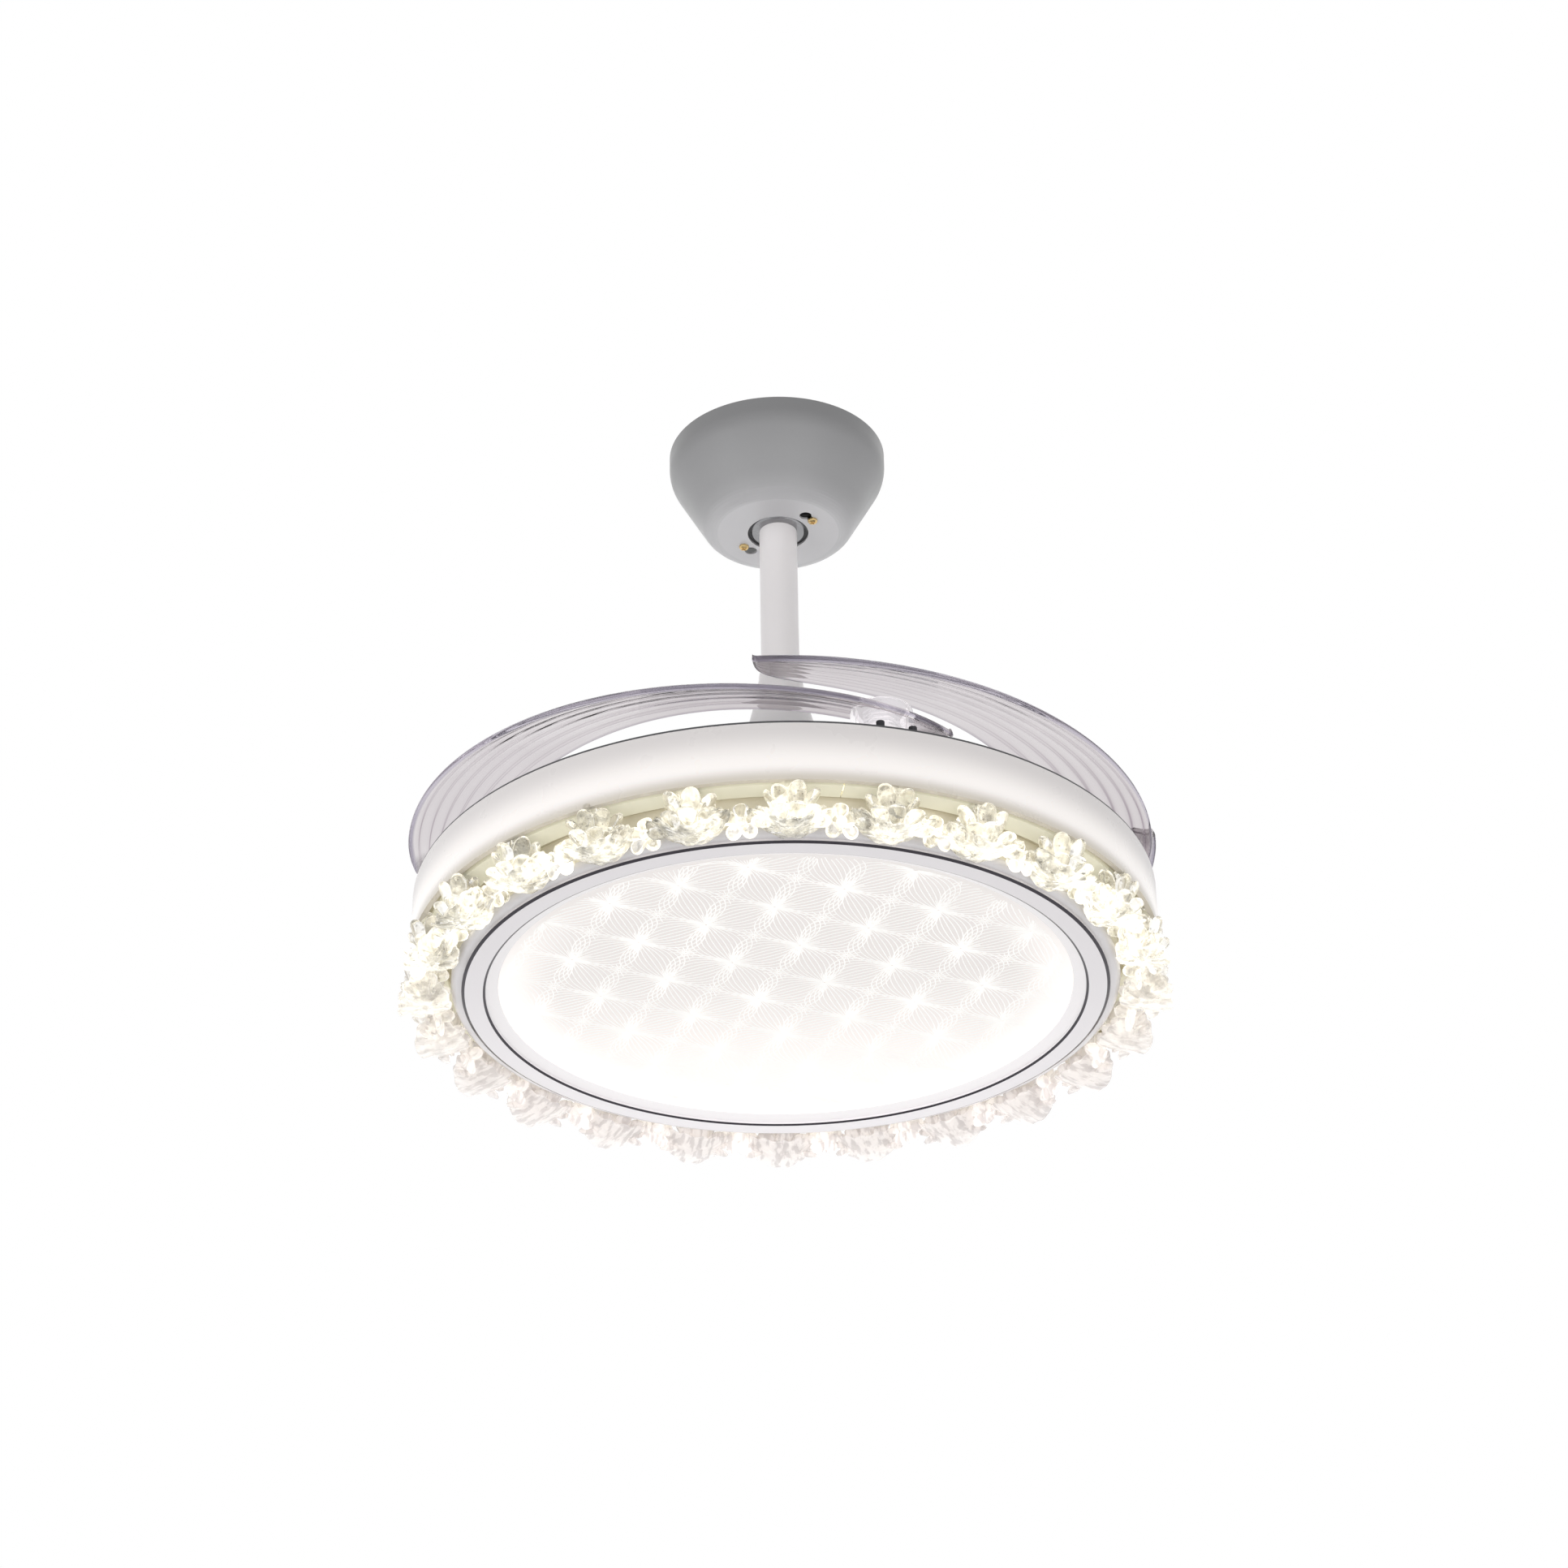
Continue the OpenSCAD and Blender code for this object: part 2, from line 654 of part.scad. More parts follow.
function involute_turn(r, base_r) = let (a = acos(min(1, base_r / r))) tan(a) * 180 / PI - a;

// One tooth on the +X side: involute flanks between the root and the tip
module tooth(teeth) {
    pitch_r = gear_m * teeth / 2;
    base_r = pitch_r * cos(20);
    root_r = pitch_r - 1.25 * gear_m;
    tip_r = pitch_r + gear_m;
    half = 90 / teeth - back_lash / 4 / pitch_r * 180 / PI + involute_turn(pitch_r, base_r);
    from_r = max(root_r, base_r);
    flank = [for (i = [0:4]) let (r = from_r + (tip_r - from_r) * i / 4)
        [r, half - involute_turn(r, base_r)]];
    outline = concat([[root_r - 1, flank[0][1]]], flank);
    polygon(concat([for (p = outline) p[0] * [cos(p[1]), sin(p[1])]],
                   [for (p = reversed(outline)) p[0] * [cos(p[1]), -sin(p[1])]]));
}

// Each blade gear turns this ring, so that all blades open together
module sync_ring() color("ivory") in_fan() {
    step = 360 / ring_teeth;
    sweep = fold_open * pinion_teeth / ring_teeth;
    tube(ring_root_r, ring_bore_r, gear_low, gear_top);
    around(blades, pivot_azimuth) for (k = [-2:ceil(sweep / step) + 2]) rotate(k * step)
        translate([0, 0, gear_low]) linear_extrude(gear_t) tooth(ring_teeth);
}

module blade_gear(number) color("dimgray") in_fan() rotate(pivot_azimuth + 90 * (number - 1))
    translate([pivot_r, 0, gear_low]) difference() {
        union() {
            cylinder(r = pinion_pitch_r - 1.25 * gear_m, h = gear_t);
            for (k = [first_tooth:last_tooth]) rotate(tooth_angle(k))
                linear_extrude(gear_t) tooth(pinion_teeth);
        }
        translate([0, 0, -1]) cylinder(r = collar_r + snug, h = gear_t + 2);
        translate([collar_r - 1, -key_w / 2 - snug, -1])
            cube([key_reach + 1 + snug, key_w + 2 * snug, gear_t + 2]);
    }

module blade_gear_1() blade_gear(1);
module blade_gear_2() blade_gear(2);
module blade_gear_3() blade_gear(3);
module blade_gear_4() blade_gear(4);

// ---- blades -------------------------------------------------------------

// Outer edge of the folded blade, from its heel (u = 0) to its tip (u = 1)
function edge_r(u) = blade_r - (blade_r - pivot_r - 10) * pow(max(0, 1 - u / 0.6), 3)
    - 2 * pow(max(0, (u - 0.9) / 0.1), 2);
function width_at(u) = blade_w * pow(max(0, sin(180 * u)), 0.28);

// Strip lines lie close together by the outer edge at the root and spread to the tip
function strip_at(k, u) = pow(k / blade_strips, 1 + 0.7 * (1 - u));

// A point of the folded blade in the pivot's own azimuth frame
function blade_point(u, k, side) =
    let (v = strip_at(k, u),
         a = -heel_arc + (heel_arc + blade_arc) * u,
         r = edge_r(u) - width_at(u) * v,
         bead = k == 0 ? 1.2 : 0,
         rib = side < 0 && k % 2 == 0 && k > 0 && k < blade_strips ? rib_depth : 0,
         heel = heel_lift * pow(max(0, 1 - u / 0.3), 2),
         climb = (blade_climb - climb_loss * a / 100) * a,
         rise = (blade_rise - rise_loss * u) * (blade_r - r),
         z = blade_base + heel + climb + rise + blade_camber * 4 * v * (1 - v))
    [r * cos(-a), r * sin(-a), z + side * (blade_t / 2 + bead + rib)];

module blade_skin() {
    at = function(j) (1 - cos(180 * j / (blade_rings + 1))) / 2;
    ring = function(u) concat([for (k = [0:blade_strips]) blade_point(u, k, 1)],
                              [for (k = [blade_strips:-1:0]) blade_point(u, k, -1)]);
    heel = blade_point(0, 0, 0);
    tip = blade_point(1, 0, 0);
    skin([for (j = [1:blade_rings]) ring(at(j))], heel, tip);
}

// A moulded blade: a ribbed crescent that grows out of its hub
module blade(number) color("lavender") in_fan() rotate(pivot_azimuth + 90 * (number - 1)) difference() {
    union() {
        blade_skin();
        translate([pivot_r, 0, 0]) {
            post(hub_r, gear_top, hub_top);
            post(collar_r, gear_low, gear_top + 1);
            translate([collar_r - 1, -key_w / 2, gear_low]) cube([key_reach + 1, key_w, gear_t + 1]);
        }
    }
    translate([pivot_r, 0, 0]) {
        post(post_r + run, gear_low - 1, hub_top + 30);
        tube(pocket_r, boss_r, pocket_low, hub_top + 1);
        post(cap_r + air, hub_top, hub_top + 30);
    }
}

module blade_1() blade(1);
module blade_2() blade(2);
module blade_3() blade(3);
module blade_4() blade(4);

// ---- drum ---------------------------------------------------------------

module lamp_flange() color("silver") in_fan() difference() {
    union() {
        tube(shaft_r + 7, shaft_r + snug, chassis_top, carrier_low + 2);
        tube(24, shaft_r + snug, chassis_top, chassis_top + 4);
    }
    around(4, 45) translate([plate_screw_r, 0, chassis_top - 1]) cylinder(r = 2.1, h = 6);
}

module shaft_nut() color("gray") in_fan() difference() {
    translate([0, 0, band_top - 6]) cylinder(r = 15, h = 6, $fn = 6);
    post(shaft_r + snug, band_top - 7, band_top + 1);
}

module chassis_plate() color("dimgray") in_fan() difference() {
    post(band_r - 0.4, band_top, chassis_top);
    post(shaft_r + snug, band_top - 1, chassis_top + 1);
    around(4, 45) translate([plate_screw_r, 0, band_top - 1]) cylinder(r = 2.1, h = chassis_t + 2);
    around(8, 22.5) translate([band_screw_r, 0, band_top - 1])
        cylinder(r = screw_r + snug, h = chassis_t + 2);
}

// Screws that hold the band under the chassis plate
module chassis_screws() color("silver") in_fan() around(8, 22.5)
translate([band_screw_r, 0, 0]) difference() {
    union() {
        post(screw_r, band_top - band_wall - 2, chassis_top);
        post(3.5, chassis_top, chassis_top + 1.8);
    }
    for (turn = [0, 90]) rotate(turn) translate([-2, -0.4, chassis_top + 0.9]) cube([4, 0.8, 1]);
}

module drum_band() color("white") in_fan() difference() {
    union() {
        tube(band_r, band_r - band_wall, recess_h, band_top);
        tube(band_r, band_r - 3.5, recess_h, recess_h + band_wall);
        tube(band_r, band_r - 14, band_top - band_wall, band_top);
    }
    around(8, 22.5) translate([band_screw_r, 0, band_top - band_wall - 1])
        cylinder(r = screw_r + snug, h = band_wall + 2);
}

// Ring that closes the recess: it stands on the band's lip
module shelf_ring() color("antiquewhite") in_fan() {
    tube(band_r - band_wall - snug, rail_r - rail_t, shelf_low, shelf_low + shelf_t);
    tube(band_r - band_wall - snug, band_r - band_wall - 1.5, recess_h + band_wall, shelf_low + 1);
}

module side_led_strip() color("khaki") in_fan() {
    tube(strip_r + 3, strip_r - 3, shelf_low - 1.0, shelf_low);
    around(72) translate([strip_r - 1.4, -1.4, shelf_low - 1.5]) cube([2.8, 2.8, 1]);
}

// Frosted channel over the strip, with one butt joint
module side_lens() color("wheat") in_fan() difference() {
    tube(strip_r + lens_w / 2, strip_r - lens_w / 2, shelf_low - 3, shelf_low);
    tube(strip_r + lens_w / 2 - 1, strip_r - lens_w / 2 + 1, shelf_low - 2, shelf_low + 1);
    rotate(-81) translate([strip_r - lens_w, -0.3, shelf_low - 4]) cube([2 * lens_w, 0.6, 6]);
}

module at_cover_screws() around(4, cover_screw_azimuth + 45)
    translate([0, 0, rail_low + 5]) rotate([0, 90, 0]) children();

module crystal_rail() color("ivory") in_fan() difference() {
    tube(rail_r, rail_r - rail_t, rail_low, shelf_low);
    at_cover_screws() translate([0, 0, rail_r - 8]) cylinder(r = 1.5 + snug, h = 12);
}

module cover_screws() color("silver") in_fan() at_cover_screws() {
    translate([0, 0, rail_r - rail_t - 2.5]) cylinder(r = 1.5, h = rail_t + 2.5);
    translate([0, 0, rail_r]) cylinder(r = 2.6, h = 1.5);
}

// ---- crystals -------------------------------------------------------------

// A lobed ring of a crystal: x outwards from the rail, z up; lean tips it outwards at the top
function lobed(x, height, half_w, half_h, lobes, depth, lean, sides) =
    [for (i = [0:sides - 1])
        let (a = 360 * i / sides, f = 1 + depth * cos(lobes * a), z = half_h * f * sin(a))
        [x + lean * z, half_w * f * cos(a), height + z]];

// Big flower: a stem on the rail that opens into leaning petals
module flower() {
    sides = 12;
    depth = crystal_r - rail_r;
    middle = recess_h - 13;
    skin([lobed(snug, middle + 0.5, 4.8, 4.8, 1, 0, 0, sides),
          lobed(0.3 * depth, middle, 9, 8.5, 6, 0.05, 0.1, sides),
          lobed(0.7 * depth, middle, 0.76 * flower_w, 11.2, 6, 0.07, 0.25, sides),
          lobed(0.84 * depth, middle, 0.9 * flower_w, 18.2, 6, 0.12, 0.25, sides),
          lobed(0.93 * depth, middle, 0.66 * flower_w, 11, 6, -0.16, 0.2, sides)],
         [snug, 0, middle + 0.5], [0.8 * depth, 0, middle]);
}

// Small flower: it hangs in front of the rim from its own stem
module bud() {
    sides = 10;
    middle = 0.5;
    skin([lobed(snug, rail_low + 5.5, 4.2, 4.2, 1, 0, 0, sides),
          lobed(8, rail_low, 6, 6, 5, 0.05, 0, sides),
          lobed(13.5, middle, 0.88 * bud_w, 12, 5, 0.14, 0.1, sides),
          lobed(17.5, middle, 0.58 * bud_w, 7, 5, -0.18, 0.1, sides)],
         [snug, 0, rail_low + 5.5], [14.5, 0, middle]);
}

module crystal_flowers() color("lightyellow") in_fan() around(flowers, -90 + 1.3)
    translate([rail_r, 0, 0]) flower();

module crystal_buds() color("lightyellow") in_fan() around(flowers, -90 + 1.3 + 180 / flowers)
    translate([rail_r, 0, 0]) bud();

// ---- bottom -----------------------------------------------------------------

module bottom_cover() color("ghostwhite") in_fan() difference() {
    t = 2;
    edge = rail_low - trim_t;
    wall_r = rail_r - rail_t - snug;
    rotate_extrude() polygon(concat(
        [[rim_r, rail_low]], arc([rim_r - edge, rail_low], edge, 0, -90),
        [[trim_in_r, trim_t], [glass_r, trim_t + 2.2], [glass_r, trim_t + 3]],
        [[glass_r + 4.3, trim_t + 3], [glass_r + 4.3, trim_t + 3 + diffuser_t]],
        [[glass_r + 6.3, trim_t + 3 + diffuser_t], [glass_r + 6.3, trim_t + t], [wall_r - t, trim_t + t]],
        [[wall_r - t, rail_low + 9], [wall_r, rail_low + 9], [wall_r, rail_low]]));
    at_cover_screws() translate([0, 0, wall_r - 6]) cylinder(r = 1.5 + snug, h = 8);
}

module trim_ring() color("lavender") in_fan() {
    out_r = trim_r - inlay_t;
    in_r = trim_in_r + inlay_t;
    round_r = 0.6;
    rotate_extrude() polygon(concat([[out_r, trim_t]], arc([out_r - round_r, round_r], round_r, 0, -90, 3),
        arc([in_r + round_r, round_r], round_r, -90, -180, 3), [[in_r, trim_t]]));
}

module trim_edge_outer() color("darkslategray") in_fan() tube(trim_r, trim_r - inlay_t, 0, trim_t);

module trim_edge_inner() color("darkslategray") in_fan() tube(trim_in_r + inlay_t, trim_in_r, 0, trim_t);

module diffuser() color("white") in_fan() post(glass_r + 4, trim_t + 3, trim_t + 3 + diffuser_t);

module led_board() color("white") in_fan() {
    difference() {
        post(board_r, board_low, board_low + board_t);
        around(4) translate([standoff_r, 0, board_low - 1]) cylinder(r = 1.7, h = board_t + 2);
    }
    for (ring = [[105, 12], [60, 24], [17, 36]]) around(ring[1], 4)
        translate([board_r - ring[0] - 2.5, -2.5, board_low - 1.2]) cube([5, 5, 1.5]);
}

module board_standoffs() color("goldenrod") in_fan() around(4) translate([standoff_r, 0, 0]) {
    post(4, board_low + board_t, band_top);
    post(1.6, board_low - 2, board_low + board_t);
    post(3, board_low - 2, board_low);
}

// A closed electronics box under the chassis plate
module box_under_plate(size, y) translate([-size[0] / 2, y - size[1] / 2, band_top - size[2]]) difference() {
    cube(size);
    for (x = [-1, size[0] - 7]) translate([x, -1, -1]) cube([8, size[1] + 2, size[2] - 1]);
}

module driver_box() color("gainsboro") in_fan()
    box_under_plate([driver_l, driver_w, driver_h], standoff_r - 19 - driver_w / 2);

module receiver_box() color("whitesmoke") in_fan()
    box_under_plate([receiver_l, receiver_w, receiver_h], 32 + receiver_w / 2 - standoff_r);

hanger_bracket();
canopy();
canopy_screws();
ball_seat();
hanger_pin();
hanger_ball();
ball_set_screw();
downrod();
rod_coupling();
coupling_bolt();
coupling_cover();
motor_shaft();
stator_hub();
stator_core();
stator_windings();
upper_bearing();
lower_bearing();
rotor_upper_shell();
rotor_lower_shell();
rotor_magnets();
rotor_screws();
blade_carrier();
pivot_posts();
pivot_caps();
blade_springs();
stop_bumpers();
ring_guides();
sync_ring();
blade_1();
blade_2();
blade_3();
blade_4();
blade_gear_1();
blade_gear_2();
blade_gear_3();
blade_gear_4();
lamp_flange();
shaft_nut();
chassis_plate();
chassis_screws();
drum_band();
shelf_ring();
side_led_strip();
side_lens();
crystal_rail();
crystal_flowers();
crystal_buds();
bottom_cover();
cover_screws();
trim_ring();
trim_edge_outer();
trim_edge_inner();
diffuser();
led_board();
board_standoffs();
driver_box();
receiver_box();
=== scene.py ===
"""Looks of the retractable blade ceiling fan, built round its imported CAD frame."""

import json
import math
import random

import bmesh
import bpy
from mathutils import Matrix, Vector


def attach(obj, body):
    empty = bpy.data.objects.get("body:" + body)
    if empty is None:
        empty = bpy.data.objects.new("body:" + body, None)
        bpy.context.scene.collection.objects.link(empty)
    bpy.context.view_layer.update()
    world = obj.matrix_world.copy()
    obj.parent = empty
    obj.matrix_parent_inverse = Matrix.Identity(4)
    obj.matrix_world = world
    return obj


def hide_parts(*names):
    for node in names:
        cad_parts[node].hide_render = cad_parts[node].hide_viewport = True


MM = 0.001

# Heights in the fan's own frame are counted up from the lamp's trim face
FAN_DROP = 422.0
TRIM_Z = -FAN_DROP * MM

# Moulded ribs of a blade, along which the clear plastic's tone has painted shade
RIBS = 7

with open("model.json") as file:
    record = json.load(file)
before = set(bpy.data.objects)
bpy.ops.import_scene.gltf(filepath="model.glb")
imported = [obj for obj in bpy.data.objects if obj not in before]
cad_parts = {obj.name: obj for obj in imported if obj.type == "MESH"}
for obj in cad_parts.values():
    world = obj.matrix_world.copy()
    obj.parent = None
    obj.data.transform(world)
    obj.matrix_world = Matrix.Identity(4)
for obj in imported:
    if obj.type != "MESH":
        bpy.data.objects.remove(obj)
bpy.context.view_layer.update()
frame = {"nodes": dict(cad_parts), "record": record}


# ---- node helpers ---------------------------------------------------------


class Surface:
    """A node material that is put together step by step."""

    def __init__(self, name):
        self.material = bpy.data.materials.new(name)
        self.material.use_nodes = True
        self.tree = self.material.node_tree
        self.shader = self.tree.nodes["Principled BSDF"]
        self.place = self.node("ShaderNodeTexCoord").outputs["Object"]

    def node(self, kind, **settings):
        made = self.tree.nodes.new(kind)
        for key, value in settings.items():
            setattr(made, key, value)
        return made

    def link(self, source, target):
        self.tree.links.new(source, target)

    def feed(self, socket, value):
        """Links an output to a socket, or sets the socket to a plain value."""
        if isinstance(value, bpy.types.NodeSocket):
            self.link(value, socket)
        elif isinstance(value, tuple) and len(value) == 3 and socket.type == "RGBA":
            socket.default_value = (*value, 1.0)
        else:
            socket.default_value = value

    def math(self, operation, *values):
        made = self.node("ShaderNodeMath", operation=operation)
        for socket, value in zip(made.inputs, values):
            self.feed(socket, value)
        return made.outputs[0]

    def between(self, value, low, high, to_low=0.0, to_high=1.0):
        """A smooth step from to_low to to_high as value goes from low to high."""
        made = self.node("ShaderNodeMapRange", interpolation_type="SMOOTHSTEP")
        for key, number in zip(
            ("Value", "From Min", "From Max", "To Min", "To Max"),
            (value, low, high, to_low, to_high),
        ):
            self.feed(made.inputs[key], number)
        return made.outputs["Result"]

    def stretched(self, scale):
        made = self.node("ShaderNodeMapping")
        self.link(self.place, made.inputs["Vector"])
        made.inputs["Scale"].default_value = scale
        return made.outputs["Vector"]

    def noise(self, scale, detail=3.0, vector=None, roughness=0.5):
        made = self.node("ShaderNodeTexNoise")
        self.link(vector or self.place, made.inputs["Vector"])
        made.inputs["Scale"].default_value = scale
        made.inputs["Detail"].default_value = detail
        made.inputs["Roughness"].default_value = roughness
        return made.outputs["Fac"]

    def cells(self, scale, feature="F1"):
        made = self.node("ShaderNodeTexVoronoi", feature=feature)
        self.link(self.place, made.inputs["Vector"])
        made.inputs["Scale"].default_value = scale
        return made.outputs["Distance"]

    def axis(self, which):
        made = self.node("ShaderNodeSeparateXYZ")
        self.link(self.place, made.inputs[0])
        return made.outputs[which]

    def radius(self):
        """Distance from the fan's axis."""
        x = self.axis("X")
        y = self.axis("Y")
        squares = self.math("ADD", self.math("MULTIPLY", x, x), self.math("MULTIPLY", y, y))
        return self.math("SQRT", squares)

    def around(self, ring_radius=0.235, squeeze=0.3):
        """Place in metres round the fan's axis, drawn out outwards and downwards."""
        turn = self.math("ARCTAN2", self.axis("Y"), self.axis("X"))
        put = self.node("ShaderNodeCombineXYZ")
        self.feed(put.inputs["X"], self.math("MULTIPLY", turn, ring_radius))
        self.feed(put.inputs["Y"], self.math("MULTIPLY", self.radius(), squeeze))
        self.feed(put.inputs["Z"], self.math("MULTIPLY", self.axis("Z"), squeeze))
        return put.outputs[0]

    def mix(self, factor, first, second, blend="MIX"):
        made = self.node("ShaderNodeMix", data_type="RGBA", blend_type=blend)
        self.feed(made.inputs["Factor"], factor)
        self.feed(made.inputs["A"], first)
        self.feed(made.inputs["B"], second)
        return made.outputs["Result"]

    def set(self, **values):
        """Feeds the shader's sockets: base_color goes to "Base Color"."""
        for key, value in values.items():
            wanted = key.replace("_", " ").lower()
            socket = [s for s in self.shader.inputs if s.name.lower() == wanted][0]
            self.feed(socket, value)

    def bump(self, height, depth, strength=1.0):
        """Relief of a depth in metres."""
        made = self.node("ShaderNodeBump")
        made.inputs["Strength"].default_value = strength
        made.inputs["Distance"].default_value = depth
        self.link(height, made.inputs["Height"])
        self.link(made.outputs["Normal"], self.shader.inputs["Normal"])


def tone(colour, factor):
    """A colour made lighter or darker."""
    return tuple(min(1.0, part * factor) for part in colour)


def paint(name, colour, roughness=0.32, spread=0.03, coat=0.25, peel=0.6):
    """Sprayed paint: a slight mottle and orange peel."""
    s = Surface(name)
    mottle = s.noise(14.0, 4.0)
    s.set(
        base_color=s.mix(mottle, tone(colour, 1 - spread), tone(colour, 1 + spread)),
        roughness=s.between(s.noise(45.0), 0.3, 0.7, roughness - 0.04, roughness + 0.05),
        coat_weight=coat,
        coat_roughness=0.12,
    )
    s.bump(s.noise(900.0, 2.0), 0.00004 * peel)
    return s


def metal(name, colour, roughness=0.28, grain=(1, 1, 40), spread=0.1, metallic=1.0):
    """Machined or rolled metal with fine lines along one direction."""
    s = Surface(name)
    lines = s.noise(60.0, 5.0, s.stretched(grain))
    s.set(
        base_color=s.mix(lines, tone(colour, 1 - spread), tone(colour, 1 + spread)),
        metallic=metallic,
        roughness=s.between(lines, 0.25, 0.75, roughness - 0.08, roughness + 0.1),
    )
    s.bump(lines, 0.00003)
    return s


def plastic(name, colour, roughness=0.45, spread=0.04, grain=420.0):
    """Moulded plastic with a fine spark-eroded grain."""
    s = Surface(name)
    s.set(
        base_color=s.mix(s.noise(22.0), tone(colour, 1 - spread), tone(colour, 1 + spread)),
        roughness=s.between(s.noise(70.0), 0.3, 0.7, roughness - 0.06, roughness + 0.06),
    )
    s.bump(s.noise(grain, 2.0), 0.00005)
    return s


# ---- materials of the CAD nodes -------------------------------------------

# Radius of the canopy's flat bottom, heights between which its corner turns, and radius of
# the cover's lip inside the trim, in metres
CANOPY_FLAT_R = 0.042
CORNER_LOW = -0.061
CORNER_HIGH = -0.044
COVER_LIP_R = 0.193

# Half the width over which a tone changes at one of these radii
EDGE = 0.0005

# Warmth of the diffuser's light, and of the painted glow in the band, the cover's lip and the far
# and near crystals
BAND_LIGHT = (1.0, 0.965, 0.90)
DIFFUSER_LIGHT = (1.0, 0.965, 0.935)
LIP_LIGHT = (1.0, 0.965, 0.955)
FAR_LIGHT = (1.0, 0.95, 0.92)
NEAR_LIGHT = (1.0, 0.95, 0.80)


def canopy_paint():
    """Silver grey paint whose grey is partly painted shade: darker on the wall than on the flat
    bottom, which faces the light below, and darker still up towards the ceiling.
    """
    s = paint("canopy_paint", (0.27, 0.27, 0.275), 0.36, 0.02, 0.15)
    height = s.axis("Z")
    mottle = s.noise(14.0, 4.0)
    # Painted light and shade: the flat bottom is paler than the wall, and the wall darkens up
    # towards the ceiling
    bottom = s.mix(mottle, (0.365, 0.36, 0.37), (0.39, 0.385, 0.395))
    wall = s.mix(s.between(height, -0.045, -0.010), (0.29, 0.29, 0.295), (0.25, 0.25, 0.255))
    corner = s.between(height, CORNER_LOW, CORNER_HIGH)
    turned = s.mix(corner, (0.345, 0.342, 0.35), wall)
    beyond = s.between(s.radius(), CANOPY_FLAT_R - EDGE, CANOPY_FLAT_R + EDGE)
    s.set(base_color=s.mix(beyond, bottom, turned))
    return s


def pale_gloss(name, colour, roughness, coat, at_front=1.0):
    """Glossy paint with painted light: it turns paler towards the far side, where the light lies,
    and an at_front below one darkens its near side as painted shade.
    """
    s = paint(name, colour, roughness, 0.012, coat)
    far = s.between(s.axis("Y"), -0.12, 0.21)
    darker = tone(colour, 0.985 * at_front)
    lighter = tone(colour, 1.015 * at_front)
    near = s.mix(s.noise(14.0, 4.0), darker, lighter)
    # Painted light: the far side is paler than the paint's own colour
    s.set(base_color=s.mix(far, near, tone(colour, 1.2)))
    return s


def cover_paint():
    """The cover's gloss, with painted shade on its near side and a painted glow on the lip that
    the diffuser lights.
    """
    s = pale_gloss("cover_gloss", (0.80, 0.775, 0.785), 0.22, 0.5, 0.91)
    lip = s.between(s.radius(), COVER_LIP_R - EDGE, COVER_LIP_R + EDGE, 1.0, 0.0)
    # Painted light: the lip glows as if lit by the diffuser
    s.set(
        emission_color=LIP_LIGHT,
        emission_strength=s.math("MULTIPLY", lip, 0.12),
    )
    return s


def band_paint():
    """White band with painted light on its lower part: a glow that stands in for the crystals'
    light falling on it, and a warm painted shade along its lower edge.
    """
    s = paint("drum_paint", (0.80, 0.765, 0.76), 0.3, 0.012)
    height = s.axis("Z")
    low = TRIM_Z + 0.024
    # Painted light: a glow that rises above the lower edge and fades higher up
    rising = s.between(height, low + 0.001, low + 0.011, 0.04, 0.30)
    fading = s.between(height, low + 0.011, low + 0.036, 1.0, 0.0)
    # Painted shade: warmer and darker along the lower edge
    warm = s.between(height, low, low + 0.009, 0.8, 0.0)
    white = s.mix(s.noise(14.0, 4.0), (0.79, 0.755, 0.75), (0.81, 0.775, 0.765))
    s.set(
        base_color=s.mix(warm, white, (0.70, 0.64, 0.53)),
        emission_color=BAND_LIGHT,
        emission_strength=s.math("MULTIPLY", rising, fading),
    )
    return s


def glowing(name, colour, strength, roughness=0.4):
    """Frosted plastic that is lit from behind, a little unevenly. On the rail, which is painted,
    the same glow is painted light.
    """
    s = Surface(name)
    uneven = s.between(s.noise(24.0), 0.3, 0.7, 0.9 * strength, 1.1 * strength)
    s.set(
        base_color=s.mix(s.noise(60.0), tone(colour, 0.95), tone(colour, 1.0)),
        roughness=roughness,
        emission_color=colour,
        emission_strength=uneven,
    )
    s.bump(s.noise(600.0, 2.0), 0.00003)
    return s


def diffuser_sheet():
    """Frosted sheet, lit from behind and brightest at the rim."""
    s = Surface("diffuser_acrylic")
    y = s.axis("Y")
    away = s.between(y, -0.14, 0.0, 0.15, 1.0)
    rim = s.math("MULTIPLY", s.between(s.radius(), 0.145, 0.184, 0.0, 0.26), away)
    along = s.between(y, -0.04, 0.16, 0.305, 0.52)
    s.set(
        base_color=s.mix(s.noise(9.0), (0.52, 0.485, 0.475), (0.55, 0.52, 0.505)),
        roughness=0.35,
        emission_color=DIFFUSER_LIGHT,
        emission_strength=s.math("ADD", rim, along),
    )
    s.bump(s.noise(700.0, 2.0), 0.00002)
    return s


def copper():
    """Enamelled wire, laid in turns one above the other."""
    s = Surface("copper_wire")
    turns = s.node("ShaderNodeTexWave", wave_type="BANDS", bands_direction="Z")
    s.link(s.place, turns.inputs["Vector"])
    turns.inputs["Scale"].default_value = 320.0
    s.set(
        base_color=s.mix(turns.outputs["Fac"], (0.30, 0.10, 0.035), (0.62, 0.26, 0.11)),
        metallic=0.85,
        roughness=0.32,
    )
    s.bump(turns.outputs["Fac"], 0.0004)
    return s


def circuit_board(name, colour):
    """White board whose tracks stand out a little."""
    s = Surface(name)
    tracks = s.between(s.cells(55.0, "DISTANCE_TO_EDGE"), 0.02, 0.05)
    s.set(
        base_color=s.mix(tracks, tone(colour, 0.86), colour),
        roughness=0.35,
    )
    s.bump(tracks, 0.00005)
    return s


